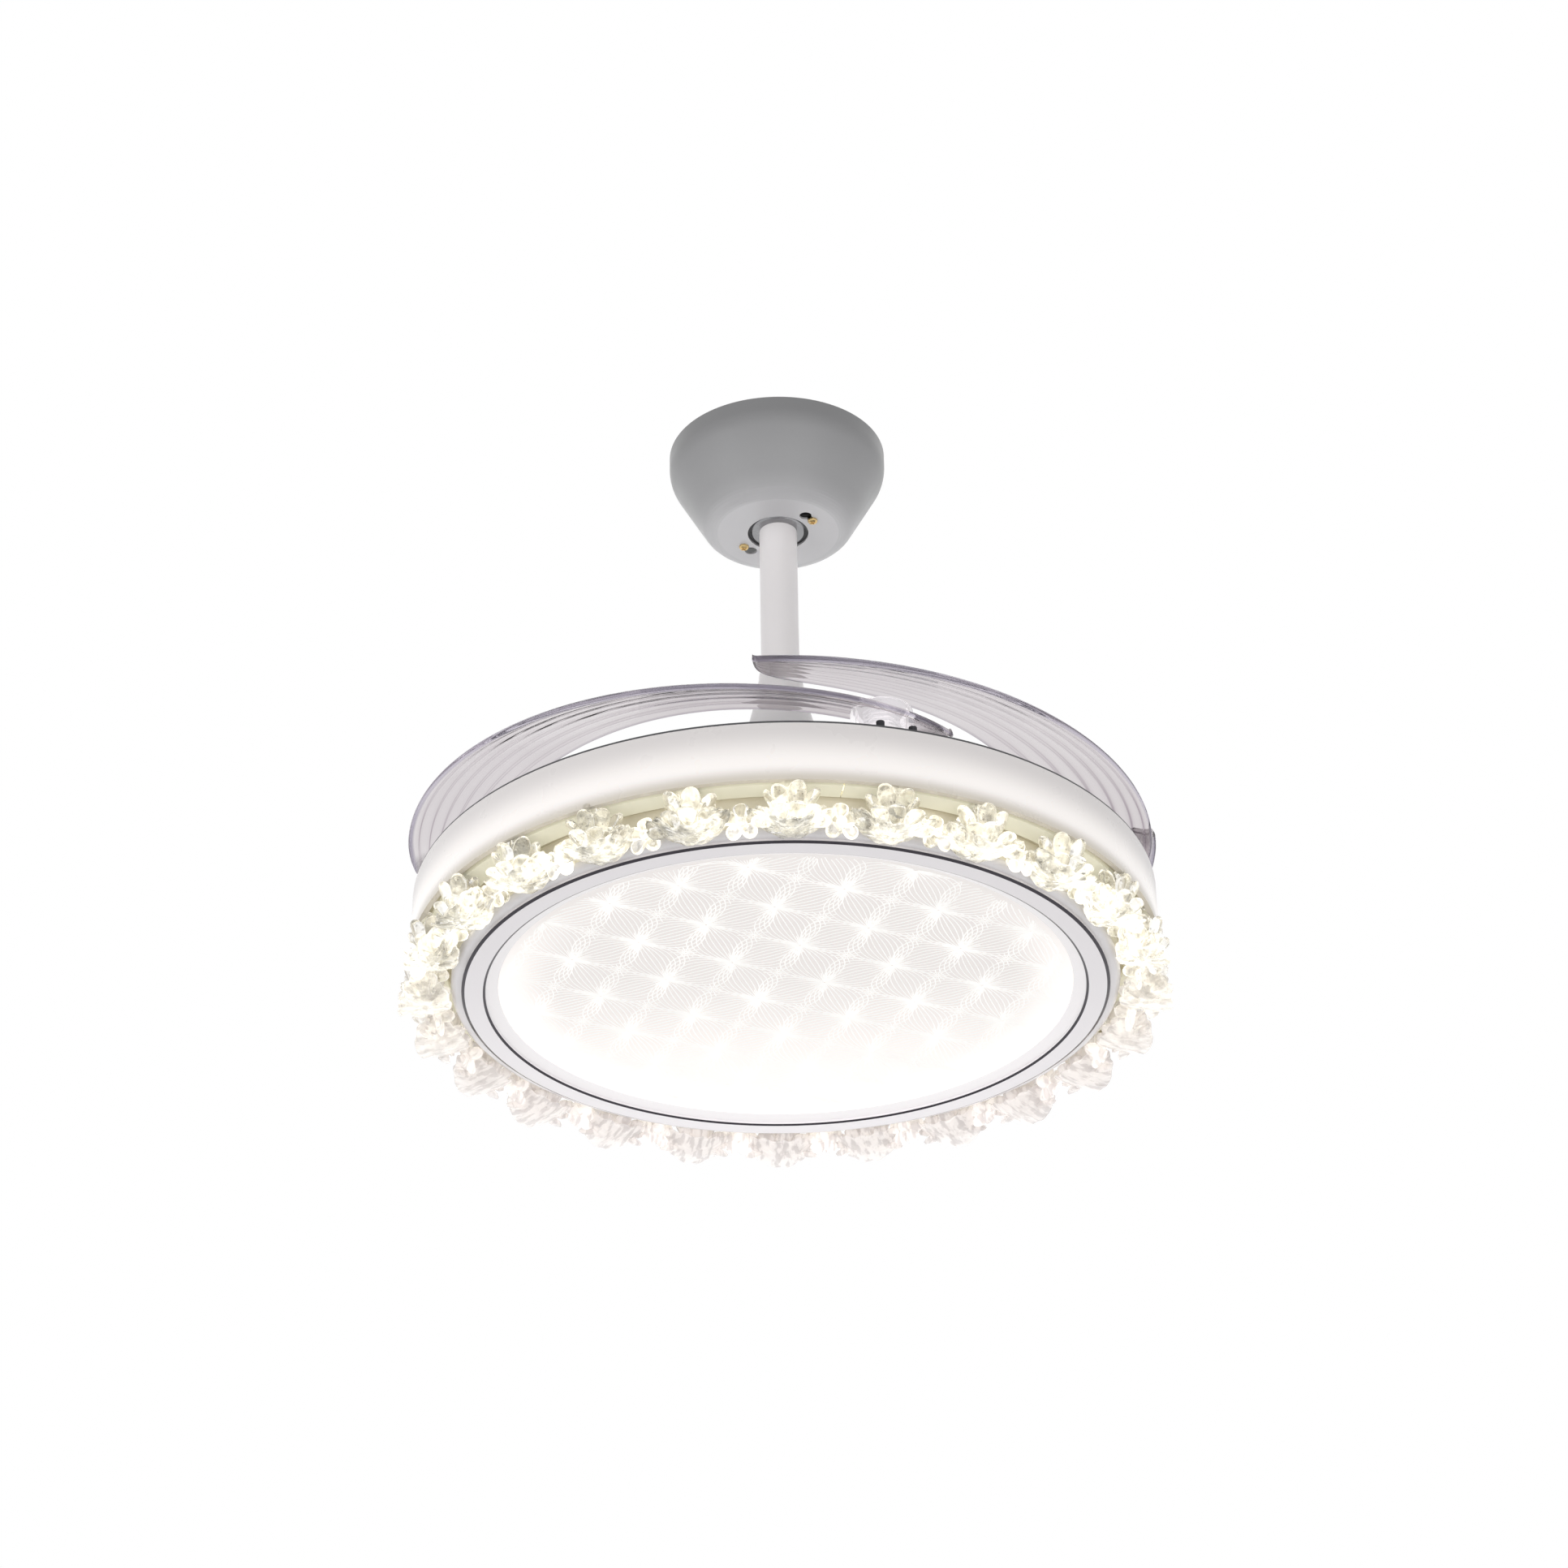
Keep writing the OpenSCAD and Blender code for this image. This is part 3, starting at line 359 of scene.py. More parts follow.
def crystal_glow(s, front, painted_streak, light):
    """Painted glow of the crystals, which stands in for the side strip's light: even at the far
    side, broken at the front, and less of it higher up.
    """
    broad = s.between(s.noise(48.0, 2.0), 0.40, 0.62, 0.4, 1.8)
    fine = s.between(s.noise(190.0, 2.0), 0.42, 0.58, 0.4, 1.5)
    even = s.between(painted_streak, 0.0, 1.0, 1.2, 0.86)
    varied = s.math("SUBTRACT", s.math("MULTIPLY", broad, fine), even)
    deep = s.between(s.axis("Z"), TRIM_Z - 0.004, TRIM_Z + 0.022, 1.08 * light, 0.6 * light)
    return s.math("MULTIPLY", s.math("MULTIPLY_ADD", varied, front, even), deep)


def cut_crystal(name, light):
    """Cast crystal: clear, with small deep facets, and painted light: one tone at the front and
    another at the far side, clearer at the front, painted dark streaks and specks of refraction,
    and a painted glow inside, warm towards the front.
    """
    s = Surface(name)
    # Tone, clearness and glow change from the front to the far side as painted light
    front = s.between(s.axis("Y"), -0.12, 0.16, 1.0, 0.0)
    # Painted refraction: dark streaks drawn out round the ring
    painted_streak = s.between(s.noise(300.0, 3.0, s.around()), 0.46, 0.60)
    near = s.mix(painted_streak, (0.97, 0.965, 0.94), (0.72, 0.70, 0.66))
    far = s.mix(painted_streak, (0.97, 0.94, 0.92), (0.75, 0.71, 0.70))
    body = s.mix(front, far, near)
    # Painted refraction: dark specks, strongest at the front
    painted_speck = s.between(s.cells(210.0), 0.10, 0.17, 1.0, 0.0)
    painted_specks = s.math("MULTIPLY", painted_speck, s.between(front, 0.0, 1.0, 0.15, 0.8))
    s.set(
        base_color=s.mix(painted_specks, body, (0.16, 0.14, 0.13)),
        transmission_weight=s.between(front, 0.0, 1.0, 0.5, 1.0),
        roughness=0.04,
        ior=1.52,
        # Painted light: a glow inside that stands in for the side strip's light
        emission_color=s.mix(front, FAR_LIGHT, NEAR_LIGHT),
        emission_strength=crystal_glow(s, front, painted_streak, light),
    )
    s.bump(s.noise(260.0, 2.0), 0.0002)
    return s


MATERIALS = {
    # Near black, as painted shade: the bracket stands in for the shade inside the canopy that
    # shows through its keyholes
    "bracket_steel": metal("bracket_steel", (0.045, 0.045, 0.048), 0.45, (1, 30, 1)),
    "canopy_paint": canopy_paint(),
    "brass_screw": metal("brass_screw", (0.74, 0.55, 0.26), 0.3, (1, 1, 1)),
    "seat_nylon": plastic("seat_nylon", (0.02, 0.02, 0.022)),
    "pin_steel": metal("pin_steel", (0.80, 0.80, 0.81), 0.25, (1, 40, 1)),
    "ball_nickel": metal("ball_nickel", (0.32, 0.32, 0.33), 0.22, (1, 1, 30), 0.35),
    "rod_paint": paint("rod_paint", (0.87, 0.84, 0.845), 0.34, 0.012, 0.1, 0.25),
    "cast_aluminium": metal("cast_aluminium", (0.64, 0.65, 0.67), 0.42, (1, 1, 1)),
    "lamination_steel": metal("lamination_steel", (0.36, 0.37, 0.40), 0.45, (1, 1, 60)),
    "copper_wire": copper(),
    "bearing_steel": metal("bearing_steel", (0.66, 0.67, 0.69), 0.2, (1, 1, 30)),
    "magnet_ferrite": plastic("magnet_ferrite", (0.07, 0.07, 0.075), 0.6),
    "screw_steel": metal("screw_steel", (0.58, 0.59, 0.61), 0.3, (1, 1, 30)),
    "carrier_paint": paint("carrier_paint", (0.10, 0.10, 0.105), 0.4, 0.06),
    "cap_plastic": plastic("cap_plastic", (0.84, 0.83, 0.85), 0.35),
    "spring_steel": metal("spring_steel", (0.86, 0.86, 0.88), 0.3, (1, 1, 30), 0.06, 0.5),
    "bumper_rubber": plastic("bumper_rubber", (0.035, 0.035, 0.04), 0.75),
    "guide_nylon": plastic("guide_nylon", (0.74, 0.72, 0.66), 0.5),
    "gear_nylon": plastic("gear_nylon", (0.09, 0.088, 0.09), 0.5),
    "chassis_paint": paint("chassis_paint", (0.055, 0.055, 0.06), 0.4, 0.08),
    "drum_paint": band_paint(),
    "shelf_paint": paint("shelf_paint", (0.66, 0.61, 0.47), 0.45, 0.03, 0.0),
    "strip_board": glowing("strip_board", (1.0, 0.90, 0.66), 1.2),
    "lens_frost": glowing("lens_frost", (0.79, 0.77, 0.63), 0.27),
    # The rail is no lamp: its glow is painted light from the side strip, seen through the
    # crystals
    "rail_paint": glowing("rail_paint", (0.86, 0.81, 0.68), 0.06),
    "crystal_clear": cut_crystal("crystal_clear", 0.11),
    "cover_gloss": cover_paint(),
    "trim_gloss": pale_gloss("trim_gloss", (0.80, 0.77, 0.79), 0.18, 0.6),
    "edge_dark": metal("edge_dark", (0.045, 0.04, 0.05), 0.16, (1, 1, 30), 0.2, 0.6),
    "diffuser_acrylic": diffuser_sheet(),
    "board_white": circuit_board("board_white", (0.82, 0.83, 0.82)),
    "standoff_brass": metal("standoff_brass", (0.72, 0.54, 0.26), 0.3, (1, 1, 30)),
    "box_plastic": plastic("box_plastic", (0.78, 0.78, 0.77), 0.5),
}


def blade_body(s, along, across):
    """Tone of the ribbed sheet, with painted shade: darker towards the heel, darker along each
    rib and shaded between the ribs, the lines deepest at the heel and the tip.
    """
    spot = s.math("FRACT", s.math("MULTIPLY", across, float(RIBS)))
    from_rib = s.math("ABSOLUTE", s.math("SUBTRACT", spot, 0.5))
    root = s.between(along, 0.15, 0.75, 1.0, 0.0)
    tip = s.between(along, 0.62, 0.92)
    inside = s.between(across, 0.05, 0.09)
    cloud = s.between(s.noise(7.0), 0.35, 0.65)
    clear = s.mix(cloud, (0.71, 0.675, 0.69), (0.76, 0.73, 0.74))
    # Painted shade: darker towards the heel
    body = s.mix(s.math("MULTIPLY", root, 0.35), clear, (0.55, 0.50, 0.51))
    shade = s.math("MULTIPLY", s.between(from_rib, 0.10, 0.5), inside)
    shades = s.math("MULTIPLY", shade, s.math("MULTIPLY_ADD", root, 0.25, 0.13))
    shaded = s.mix(shades, body, (0.42, 0.36, 0.40))
    # Painted shade: a dark line along each rib
    rib = s.between(from_rib, s.math("MULTIPLY_ADD", root, -0.08, 0.43), 0.5)
    depth = s.math("MULTIPLY_ADD", root, 0.5, s.math("MULTIPLY_ADD", tip, 0.3, 0.42))
    lines = s.math("MULTIPLY", s.math("MULTIPLY", rib, inside), depth)
    return s.mix(lines, shaded, (0.34, 0.29, 0.33))


def blade_rims(s, across, body, bead, moulded):
    """Adds the tone of the outer bead, and painted shade: a dark outline along the outer edge and
    a darker line along the inner edge.
    """
    beaded = s.mix(s.math("MULTIPLY", bead, 0.75), body, (0.55, 0.51, 0.64))
    # Painted shade: a dark outline along the outer edge, and a darker line along the inner one
    outline = s.math("MULTIPLY", s.between(across, 0.006, 0.022, 0.7, 0.0), moulded)
    lined = s.mix(outline, beaded, (0.33, 0.30, 0.37))
    inner = s.math("MULTIPLY", s.between(across, 0.975, 0.992, 0.0, 0.5), moulded)
    return s.mix(inner, lined, (0.36, 0.33, 0.38))


def clear_blade():
    """Smoky clear plastic. The hub, which has no place on the strip map, is pale and hazy, with a
    painted glow that lights it.
    """
    s = Surface("blade_clear")
    strip = s.node("ShaderNodeUVMap", uv_map="strip").outputs["UV"]
    parts = s.node("ShaderNodeSeparateXYZ")
    s.link(strip, parts.inputs[0])
    along = parts.outputs["X"]
    across = parts.outputs["Y"]
    moulded = s.between(along, -0.5, -0.1)
    bead = s.math("MULTIPLY", s.between(across, 0.030, 0.075, 1.0, 0.0), moulded)
    edged = blade_rims(s, across, blade_body(s, along, across), bead, moulded)
    heel_end = s.between(along, 0.010, 0.035, 1.0, 0.0)
    tip_end = s.between(along, 0.955, 0.985)
    ends = s.math("ADD", heel_end, tip_end)
    solid = s.math("MULTIPLY", s.math("MAXIMUM", ends, bead), moulded)
    hub_haze = s.between(moulded, 0.0, 1.0, 0.2, 0.0)
    milky = s.math("MAXIMUM", s.math("MULTIPLY", solid, 0.3), hub_haze)
    s.set(
        base_color=s.mix(moulded, (0.97, 0.955, 0.965), edged),
        transmission_weight=s.math("SUBTRACT", 1.0, milky),
        roughness=0.02,
        ior=1.08,
        # Painted light: the hub glows a little
        emission_color=(1.0, 0.98, 0.985),
        emission_strength=s.between(moulded, 0.0, 1.0, 0.14, 0.0),
    )
    return s


MATERIALS["blade_clear"] = clear_blade()


def dress(piece, surface):
    """Gives a piece one material."""
    piece.data.materials.clear()
    piece.data.materials.append(surface.material)


def smooth(piece, degrees):
    """Smooth shading that stays sharp where faces meet at more than an angle."""
    piece.data.shade_smooth()
    for edge in piece.data.edges:
        edge.use_edge_sharp = False
    piece.data.set_sharp_from_angle(angle=math.radians(degrees))


def dress_nodes():
    """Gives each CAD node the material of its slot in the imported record."""
    for row in frame["record"]["subparts"]:
        dress(frame["nodes"][row["node"]], MATERIALS[row["material_slot"]])


dress_nodes()


# ---- blades ---------------------------------------------------------------

# Number of blades, azimuth of the first one's pivot in degrees, and the pivots' radius
BLADES = 4
PIVOT_AZIMUTH = -71.0
PIVOT_R = 190.0

# A folded blade: radius of its outer edge, arcs behind and ahead of its pivot in degrees,
# greatest width, thickness, height and camber
BLADE_R = 246.0
HEEL_ARC = 13.0
BLADE_ARC = 113.0
BLADE_W = 78.0
BLADE_T = 2.4
BLADE_BASE = 78.5
CAMBER = 3

# Rise for each degree of arc and its loss over 100 degrees, rise for each millimetre
# inwards and its loss from heel to tip, and the further lift of the heel
CLIMB = 0.43
CLIMB_LOSS = 0.165
LEAN = 0.44
LEAN_LOSS = 0.17
HEEL_LIFT = 2

# Shares of the blade's length: the lifted heel, the root in which the outer edge swings out
# to its radius, the start of the tip, and the tip
HEEL_END = 0.3
ROOT_END = 0.6
TIP_START = 0.9
TIP_LENGTH = 0.1

# How far outside the pivot the outer edge starts, and how far it draws in at the tip
HEEL_OUT = 10
TIP_IN = 2

# Power that blunts both ends, and how closely the ribs lie by the outer edge at the root
BLUNT = 0.28
ROOT_CROWD = 0.7

# Height and width of the bead along the outer edge, and of a rib; the part of the width that
# has ribs; and the blade width from which they are full
BEAD = 1.2
BEAD_W = 4.5
RIB = 0.7
RIB_W = 1.5
RIBS_FROM = 0.06
RIBS_TO = 0.97
FULL_RIB_W = 40

# Rows of vertices along a blade, and their places across it, from 0 at its outer edge to 1:
# those by the edges, and those round each rib
BLADE_RINGS = 150
EDGE_PLACES = (0.0, 0.004, 0.010, 0.018, 0.028, 0.040, 0.055, 0.07, 0.985, 0.995, 1.0)
RIB_PLACES = (-0.03, -0.018, -0.009, 0.0, 0.009, 0.018, 0.03, 0.0625)

# Hub with its rounded edge and its collar below and, inside, the bore, the core round it,
# the spring's pocket and the cap's seat, which is cut to well above the hub
COLLAR_R = 12
COLLAR_TOP = 84.5
HUB_R = 19.5
HUB_TOP = 106.5
BORE_R = 6.05
POCKET_R = 15
POCKET_LOW = 90.5
CORE_R = 8.2
CORE_TOP = 107.0
CAP_R = 16.1
CUT_LOW = BLADE_BASE - 1.5
CUT_TOP = 140

# Where turned pieces lie on the strip map, which has no place for them
OFF_STRIP = (-1.0, 0.0625)


def blade_edge(u):
    """Radius of the outer edge, u along the blade from 0 at the heel to 1."""
    root = max(0.0, 1 - u / ROOT_END) ** 3
    tip = max(0.0, (u - TIP_START) / TIP_LENGTH) ** 2
    return BLADE_R - (BLADE_R - PIVOT_R - HEEL_OUT) * root - TIP_IN * tip


def blade_width(u):
    """Width, blunt at both ends."""
    return BLADE_W * max(0.0, math.sin(math.pi * u)) ** BLUNT


def half_thickness(from_outer, from_inner):
    """Half the thickness of a blade: a bead along the outer edge, and both edges round."""
    half = BLADE_T / 2 + BEAD * math.exp(-((from_outer / BEAD_W) ** 4))
    round_out = min(1.0, from_outer / half)
    round_in = min(1.0, from_inner / (BLADE_T / 2))
    half *= math.sqrt(max(0.0, 1 - (1 - round_out) ** 2))
    half *= math.sqrt(max(0.0, 1 - (1 - round_in) ** 2))
    return half


def rib_height(s, width):
    """Height of the ribs, which fade where the blade is narrow."""
    if not RIBS_FROM < s < RIBS_TO:
        return 0.0
    near = abs(s * RIBS - round(s * RIBS)) / RIBS * width
    return RIB * math.exp(-((near / RIB_W) ** 2)) * min(1.0, width / FULL_RIB_W)


def blade_point(u, s, side):
    """A point of the folded blade, s across it from 0 at the outer edge to 1."""
    width = blade_width(u)
    v = s ** (1 + ROOT_CROWD * (1 - u))
    angle = -HEEL_ARC + (HEEL_ARC + BLADE_ARC) * u
    r = blade_edge(u) - width * v
    half = half_thickness(width * v, width * (1 - v))
    if side < 0:
        half += rib_height(s, width)
    heel = HEEL_LIFT * max(0.0, 1 - u / HEEL_END) ** 2
    climb = (CLIMB - CLIMB_LOSS * angle / 100) * angle
    rise = (LEAN - LEAN_LOSS * u) * (BLADE_R - r)
    z = BLADE_BASE + heel + climb + rise + CAMBER * 4 * v * (1 - v)
    turn = math.radians(-angle)
    return (r * math.cos(turn), r * math.sin(turn), z + side * half)


def across_places():
    """Places across a blade: dense at its edges and round each rib."""
    by_ribs = [round(k / RIBS + off, 5) for k in range(1, RIBS) for off in RIB_PLACES]
    return sorted({*EDGE_PLACES, *by_ribs})


def blade_skin():
    """A closed blade with a "strip" map: along it, and across it from its edge."""
    mesh = bmesh.new()
    strip = mesh.loops.layers.uv.new("strip")
    places = across_places()
    loop = [(s, 1) for s in places] + [(s, -1) for s in reversed(places[1:-1])]
    rows = []
    for j in range(1, BLADE_RINGS + 1):
        u = (1 - math.cos(math.pi * j / (BLADE_RINGS + 1))) / 2
        rows.append([(mesh.verts.new(blade_point(u, s, side)), (u, s)) for s, side in loop])
    heel = (mesh.verts.new(blade_point(0.0, 0.0, 0)), (0.0, 0.1))
    tip = (mesh.verts.new(blade_point(1.0, 0.0, 0)), (1.0, 0.1))

    def face(*corners):
        made = mesh.faces.new([c[0] for c in corners])
        for corner, place in zip(made.loops, corners):
            corner[strip].uv = place[1]

    for low, high in zip(rows, rows[1:]):
        for i in range(len(loop)):
            k = (i + 1) % len(loop)
            face(low[i], low[k], high[k], high[i])
    for i in range(len(loop)):
        k = (i + 1) % len(loop)
        face(heel, rows[0][k], rows[0][i])
        face(tip, rows[-1][i], rows[-1][k])
    bmesh.ops.recalc_face_normals(mesh, faces=mesh.faces[:])
    return mesh


def as_object(mesh, name):
    """Turns a bmesh in millimetres of the fan's frame into an object in metres."""
    data = bpy.data.meshes.new(name)
    mesh.to_mesh(data)
    mesh.free()
    data.transform(Matrix.Translation((0, 0, -FAN_DROP * MM)) @ Matrix.Scale(MM, 4))
    made = bpy.data.objects.new(name, data)
    bpy.context.scene.collection.objects.link(made)
    return made


def turned_ring(mesh, radius, height, centre, steps):
    """The vertices of one step of a turned profile, all the same one on the axis."""
    if radius < 1e-6:
        return [mesh.verts.new((centre[0], centre[1], height))] * steps
    ring = []
    for i in range(steps):
        way = 2 * math.pi * i / steps
        x = centre[0] + radius * math.cos(way)
        y = centre[1] + radius * math.sin(way)
        ring.append(mesh.verts.new((x, y, height)))
    return ring


def lathe(profile, name, centre=(0.0, 0.0), steps=96):
    """A turned solid from a closed profile of (radius, height), in millimetres."""
    mesh = bmesh.new()
    strip = mesh.loops.layers.uv.new("strip")
    rings = [turned_ring(mesh, r, h, centre, steps) for r, h in profile]
    for a, b in zip(rings, rings[1:] + rings[:1]):
        for i in range(steps):
            k = (i + 1) % steps
            corners = []
            for v in (a[i], a[k], b[k], b[i]):
                if v not in corners:
                    corners.append(v)
            if len(corners) > 2:
                made = mesh.faces.new(corners)
                for corner in made.loops:
                    corner[strip].uv = OFF_STRIP
    bmesh.ops.recalc_face_normals(mesh, faces=mesh.faces[:])
    return as_object(mesh, name)


def combine(target, tool, operation):
    """Applies a boolean and removes the tool."""
    modifier = target.modifiers.new("combine", "BOOLEAN")
    modifier.operation = operation
    modifier.object = tool
    modifier.solver = "EXACT"
    depsgraph = bpy.context.evaluated_depsgraph_get()
    data = bpy.data.meshes.new_from_object(target.evaluated_get(depsgraph))
    target.modifiers.clear()
    target.data = data
    bpy.data.objects.remove(tool)


def rounded_hub():
    """Hub and collar of one blade, round its pivot on the +X side."""
    profile = [
        (0, BLADE_BASE),
        (COLLAR_R, BLADE_BASE),
        (COLLAR_R, COLLAR_TOP),
        (HUB_R - 0.8, COLLAR_TOP),
        (HUB_R, COLLAR_TOP + 0.8),
        (HUB_R, HUB_TOP - 1.3),
        (HUB_R - 0.4, HUB_TOP - 0.4),
        (HUB_R - 1.3, HUB_TOP),
        (0, HUB_TOP),
    ]
    return lathe(profile, "hub", (PIVOT_R, 0.0))


def hub_space():
    """The bore, the spring's pocket and the cap's seat inside the hub."""
    profile = [
        (0, CUT_LOW),
        (BORE_R, CUT_LOW),
        (BORE_R, CORE_TOP),
        (CORE_R, CORE_TOP),
        (CORE_R, POCKET_LOW),
        (POCKET_R, POCKET_LOW),
        (POCKET_R, HUB_TOP),
        (CAP_R, HUB_TOP),
        (CAP_R, CUT_TOP),
        (0, CUT_TOP),
    ]
    return lathe(profile, "hub_space", (PIVOT_R, 0.0), 64)


def make_blades():
    """One blade with its hub, copied round the fan's axis."""
    first = as_object(blade_skin(), "clear_blade_1")
    combine(first, rounded_hub(), "UNION")
    combine(first, hub_space(), "DIFFERENCE")
    dress(first, MATERIALS["blade_clear"])
    smooth(first, 50.0)
    made = [first]
    for number in range(2, BLADES + 1):
        piece = bpy.data.objects.new(f"clear_blade_{number}", first.data.copy())
        bpy.context.scene.collection.objects.link(piece)
        made.append(piece)
    for number, piece in enumerate(made, 1):
        turn = math.radians(PIVOT_AZIMUTH + 90.0 * (number - 1))
        piece.data.transform(Matrix.Rotation(turn, 4, "Z"))
        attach(piece, f"blade_arm_{number}")
        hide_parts(f"blade_{number}")


make_blades()


# ---- crystals -------------------------------------------------------------

# Number of flowers, azimuth of the first one in degrees, radius of the rail, and the
# crystals' outer radius with the play inside it
FLOWERS = 24
FIRST_FLOWER = -88.7
RAIL_R = 215.0
CRYSTAL_R = 250.0
CRYSTAL_PLAY = 0.3

# Radius of the shelf, and the height that a flower may reach under it and outside it
SHELF_R = 243.0
UNDER_SHELF = 27.0
BESIDE_SHELF = 30.0

# A flower's middle outside the rail and above the trim face, its depth and width against
# its drawn size, and how far it leans out as it rises
FLOWER_OUT = 17.3
FLOWER_LIFT = 0.5
FLOWER_DEPTH = 0.84
FLOWER_WIDTH = 1.05
FLOWER_LEAN = 0.06

# A bud's middle outside the rail and above the trim face
BUD_OUT = 10.0
BUD_LIFT = 4.0

# Shell under a big flower: half sizes outwards, across and in thickness, rise of its two
# sides, drop of its outer edge, depth of its middle, and its ribs' number, height and reach
SHELL_HALF = (20.5, 25.5, 2.0)
SHELL_SIDE_RISE = 13.0
SHELL_EDGE_DROP = 2.5
SHELL_DEPTH = 5.0
SHELL_RIBS = 14
SHELL_RIB = 0.8
SHELL_RIB_REACH = 0.025


def add_petal(mesh, base, grow, face, length, width, thick, cup, facets=3):
    """A scooped petal: a flattened ball, wider by its tip, set on a base point."""
    side = grow.cross(face).normalized()
    made = bmesh.ops.create_icosphere(mesh, subdivisions=facets, radius=1.0)["verts"]
    for v in made:
        a, b, c = v.co
        along = (c + 1) / 2
        wide = width * b * (0.6 + 0.5 * along)
        deep = thick * a * (0.7 + 0.5 * along) - cup * b * b + 0.4 * cup * along * along
        v.co = base + grow * (along * length) + side * wide + face * deep


def add_ball(mesh, centre, half, facets=2):
    """A cut ball with a half size along each axis."""
    made = bmesh.ops.create_icosphere(mesh, subdivisions=facets, radius=1.0)["verts"]
    for v in made:
        v.co = Vector(centre) + Vector([v.co[k] * half[k] for k in range(3)])


def add_shell(mesh):
    """The ribbed shell under a big flower, which rises towards its two sides."""
    out, across, thick = SHELL_HALF
    made = bmesh.ops.create_uvsphere(mesh, u_segments=72, v_segments=12, radius=1.0)["verts"]
    for v in made:
        a, b, c = v.co
        rib = math.cos(SHELL_RIBS * math.atan2(b, a)) * (a * a + b * b)
        wide = 1 + SHELL_RIB_REACH * rib
        rise = SHELL_SIDE_RISE * b * b - SHELL_EDGE_DROP * a - SHELL_DEPTH
        v.co = Vector((out * a * wide, across * b * wide, thick * c + SHELL_RIB * rib + rise))


def add_part(mesh, part, turn, place):
    """Moves every vertex of a part, turns the part about the fan's axis and adds it."""
    spin = Matrix.Rotation(math.radians(turn), 4, "Z")
    for v in part.verts:
        v.co = spin @ Vector(place(*v.co))
    data = bpy.data.meshes.new("part")
    part.to_mesh(data)
    part.free()
    mesh.from_mesh(data)
    bpy.data.meshes.remove(data)


# Side petals of a flower: outward and upward part of their direction, and length
SIDE_PETALS = [(0.5, -0.15, 17.0), (0.15, 0.35, 19.0), (-0.2, 0.8, 17.0)]

# Whorls of a flower, from the lowest up: petals, foot radius and height, rise, length, half width
FLOWER_WHORLS = [
    (8, 8.5, -3.0, 40, 15.5, 6.4),
    (6, 6.5, 3.0, 64, 21.0, 6.8),
    (4, 3.0, 9.5, 78, 19.5, 6.4),
]


def add_side_petals(part, rng):
    """Petals that reach sideways and close the gap to the next bud."""
    for side in (-1, 1):
        for out, rise, length in SIDE_PETALS:
            grow = Vector((out + rng.uniform(-0.1, 0.1), side, rise)).normalized()
            face = Vector((0.4, 0, -1)).cross(grow).cross(grow).normalized()
            base = Vector((2.0, 8.5 * side, -1.0))
            add_petal(part, base, grow, face, length, width=6.0, thick=2.8, cup=2.0, facets=2)


def add_whorl(part, rng, count, foot_r, foot, rise, length, width):
    """A ring of scooped petals that rise round an upright axis."""
    start = rng.uniform(0, 360)
    for k in range(count):
        way = math.radians(start + 360.0 * k / count + rng.uniform(-6, 6))
        up = math.radians(rise + rng.uniform(-5, 5))
        flat = Vector((math.cos(way), math.sin(way), 0))
        grow = flat * math.cos(up) + Vector((0, 0, math.sin(up)))
        face = Vector((0, 0, -math.cos(up))) + flat * math.sin(up)
        base = flat * foot_r + Vector((0, 0, foot))
        grown = length * rng.uniform(0.92, 1.05)
        add_petal(part, base, grow, face, grown, width, thick=3.0, cup=2.4)


def add_flower(mesh, rng, turn, size):
    """A big flower: whorls of petals over a ribbed shell, which leans out a little."""
    part = bmesh.new()
    add_ball(part, centre=(0, 0, 10.0), half=(8.5, 8.5, 14.0))
    add_ball(part, centre=(-9.0, 0, 2.0), half=(8.0, 6.0, 5.0))
    add_shell(part)
    add_side_petals(part, rng)
    for whorl in FLOWER_WHORLS:
        add_whorl(part, rng, *whorl)

    def place(x, y, z):
        out = RAIL_R + FLOWER_OUT + FLOWER_DEPTH * x * size + FLOWER_LEAN * max(0.0, z)
        across = FLOWER_WIDTH * y * size
        out = min(out, math.sqrt((CRYSTAL_R - CRYSTAL_PLAY) ** 2 - across**2))
        roof = BESIDE_SHELF if math.hypot(out, across) > SHELF_R else UNDER_SHELF
        return out, across, min(FLOWER_LIFT + z * size, roof)

    add_part(mesh, part, turn, place)


def add_bud(mesh, rng, turn, size):
    """A small blossom that faces outwards: five scooped petals round a boss."""
    part = bmesh.new()
    add_ball(part, centre=(-3.0, 0, 0), half=(6.0, 4.6, 4.6))
    add_ball(part, centre=(4.0, 0, 0), half=(2.6, 3.2, 3.2))
    for k in range(5):
        way = math.radians(90 + 72 * k + rng.uniform(-4, 4))
        flat = Vector((0, math.cos(way), math.sin(way)))
        grow = (flat + Vector((0.22, 0, 0))).normalized()
        face = Vector((-1, 0, 0)) + flat * 0.22
        length = 11.6 * rng.uniform(0.95, 1.04)
        add_petal(part, flat * 1.6, grow, face, length, width=5.6, thick=1.9, cup=2.2)

    def place(x, y, z):
        return RAIL_R + BUD_OUT + x * size, y * size, BUD_LIFT + z * size

    add_part(mesh, part, turn, place)


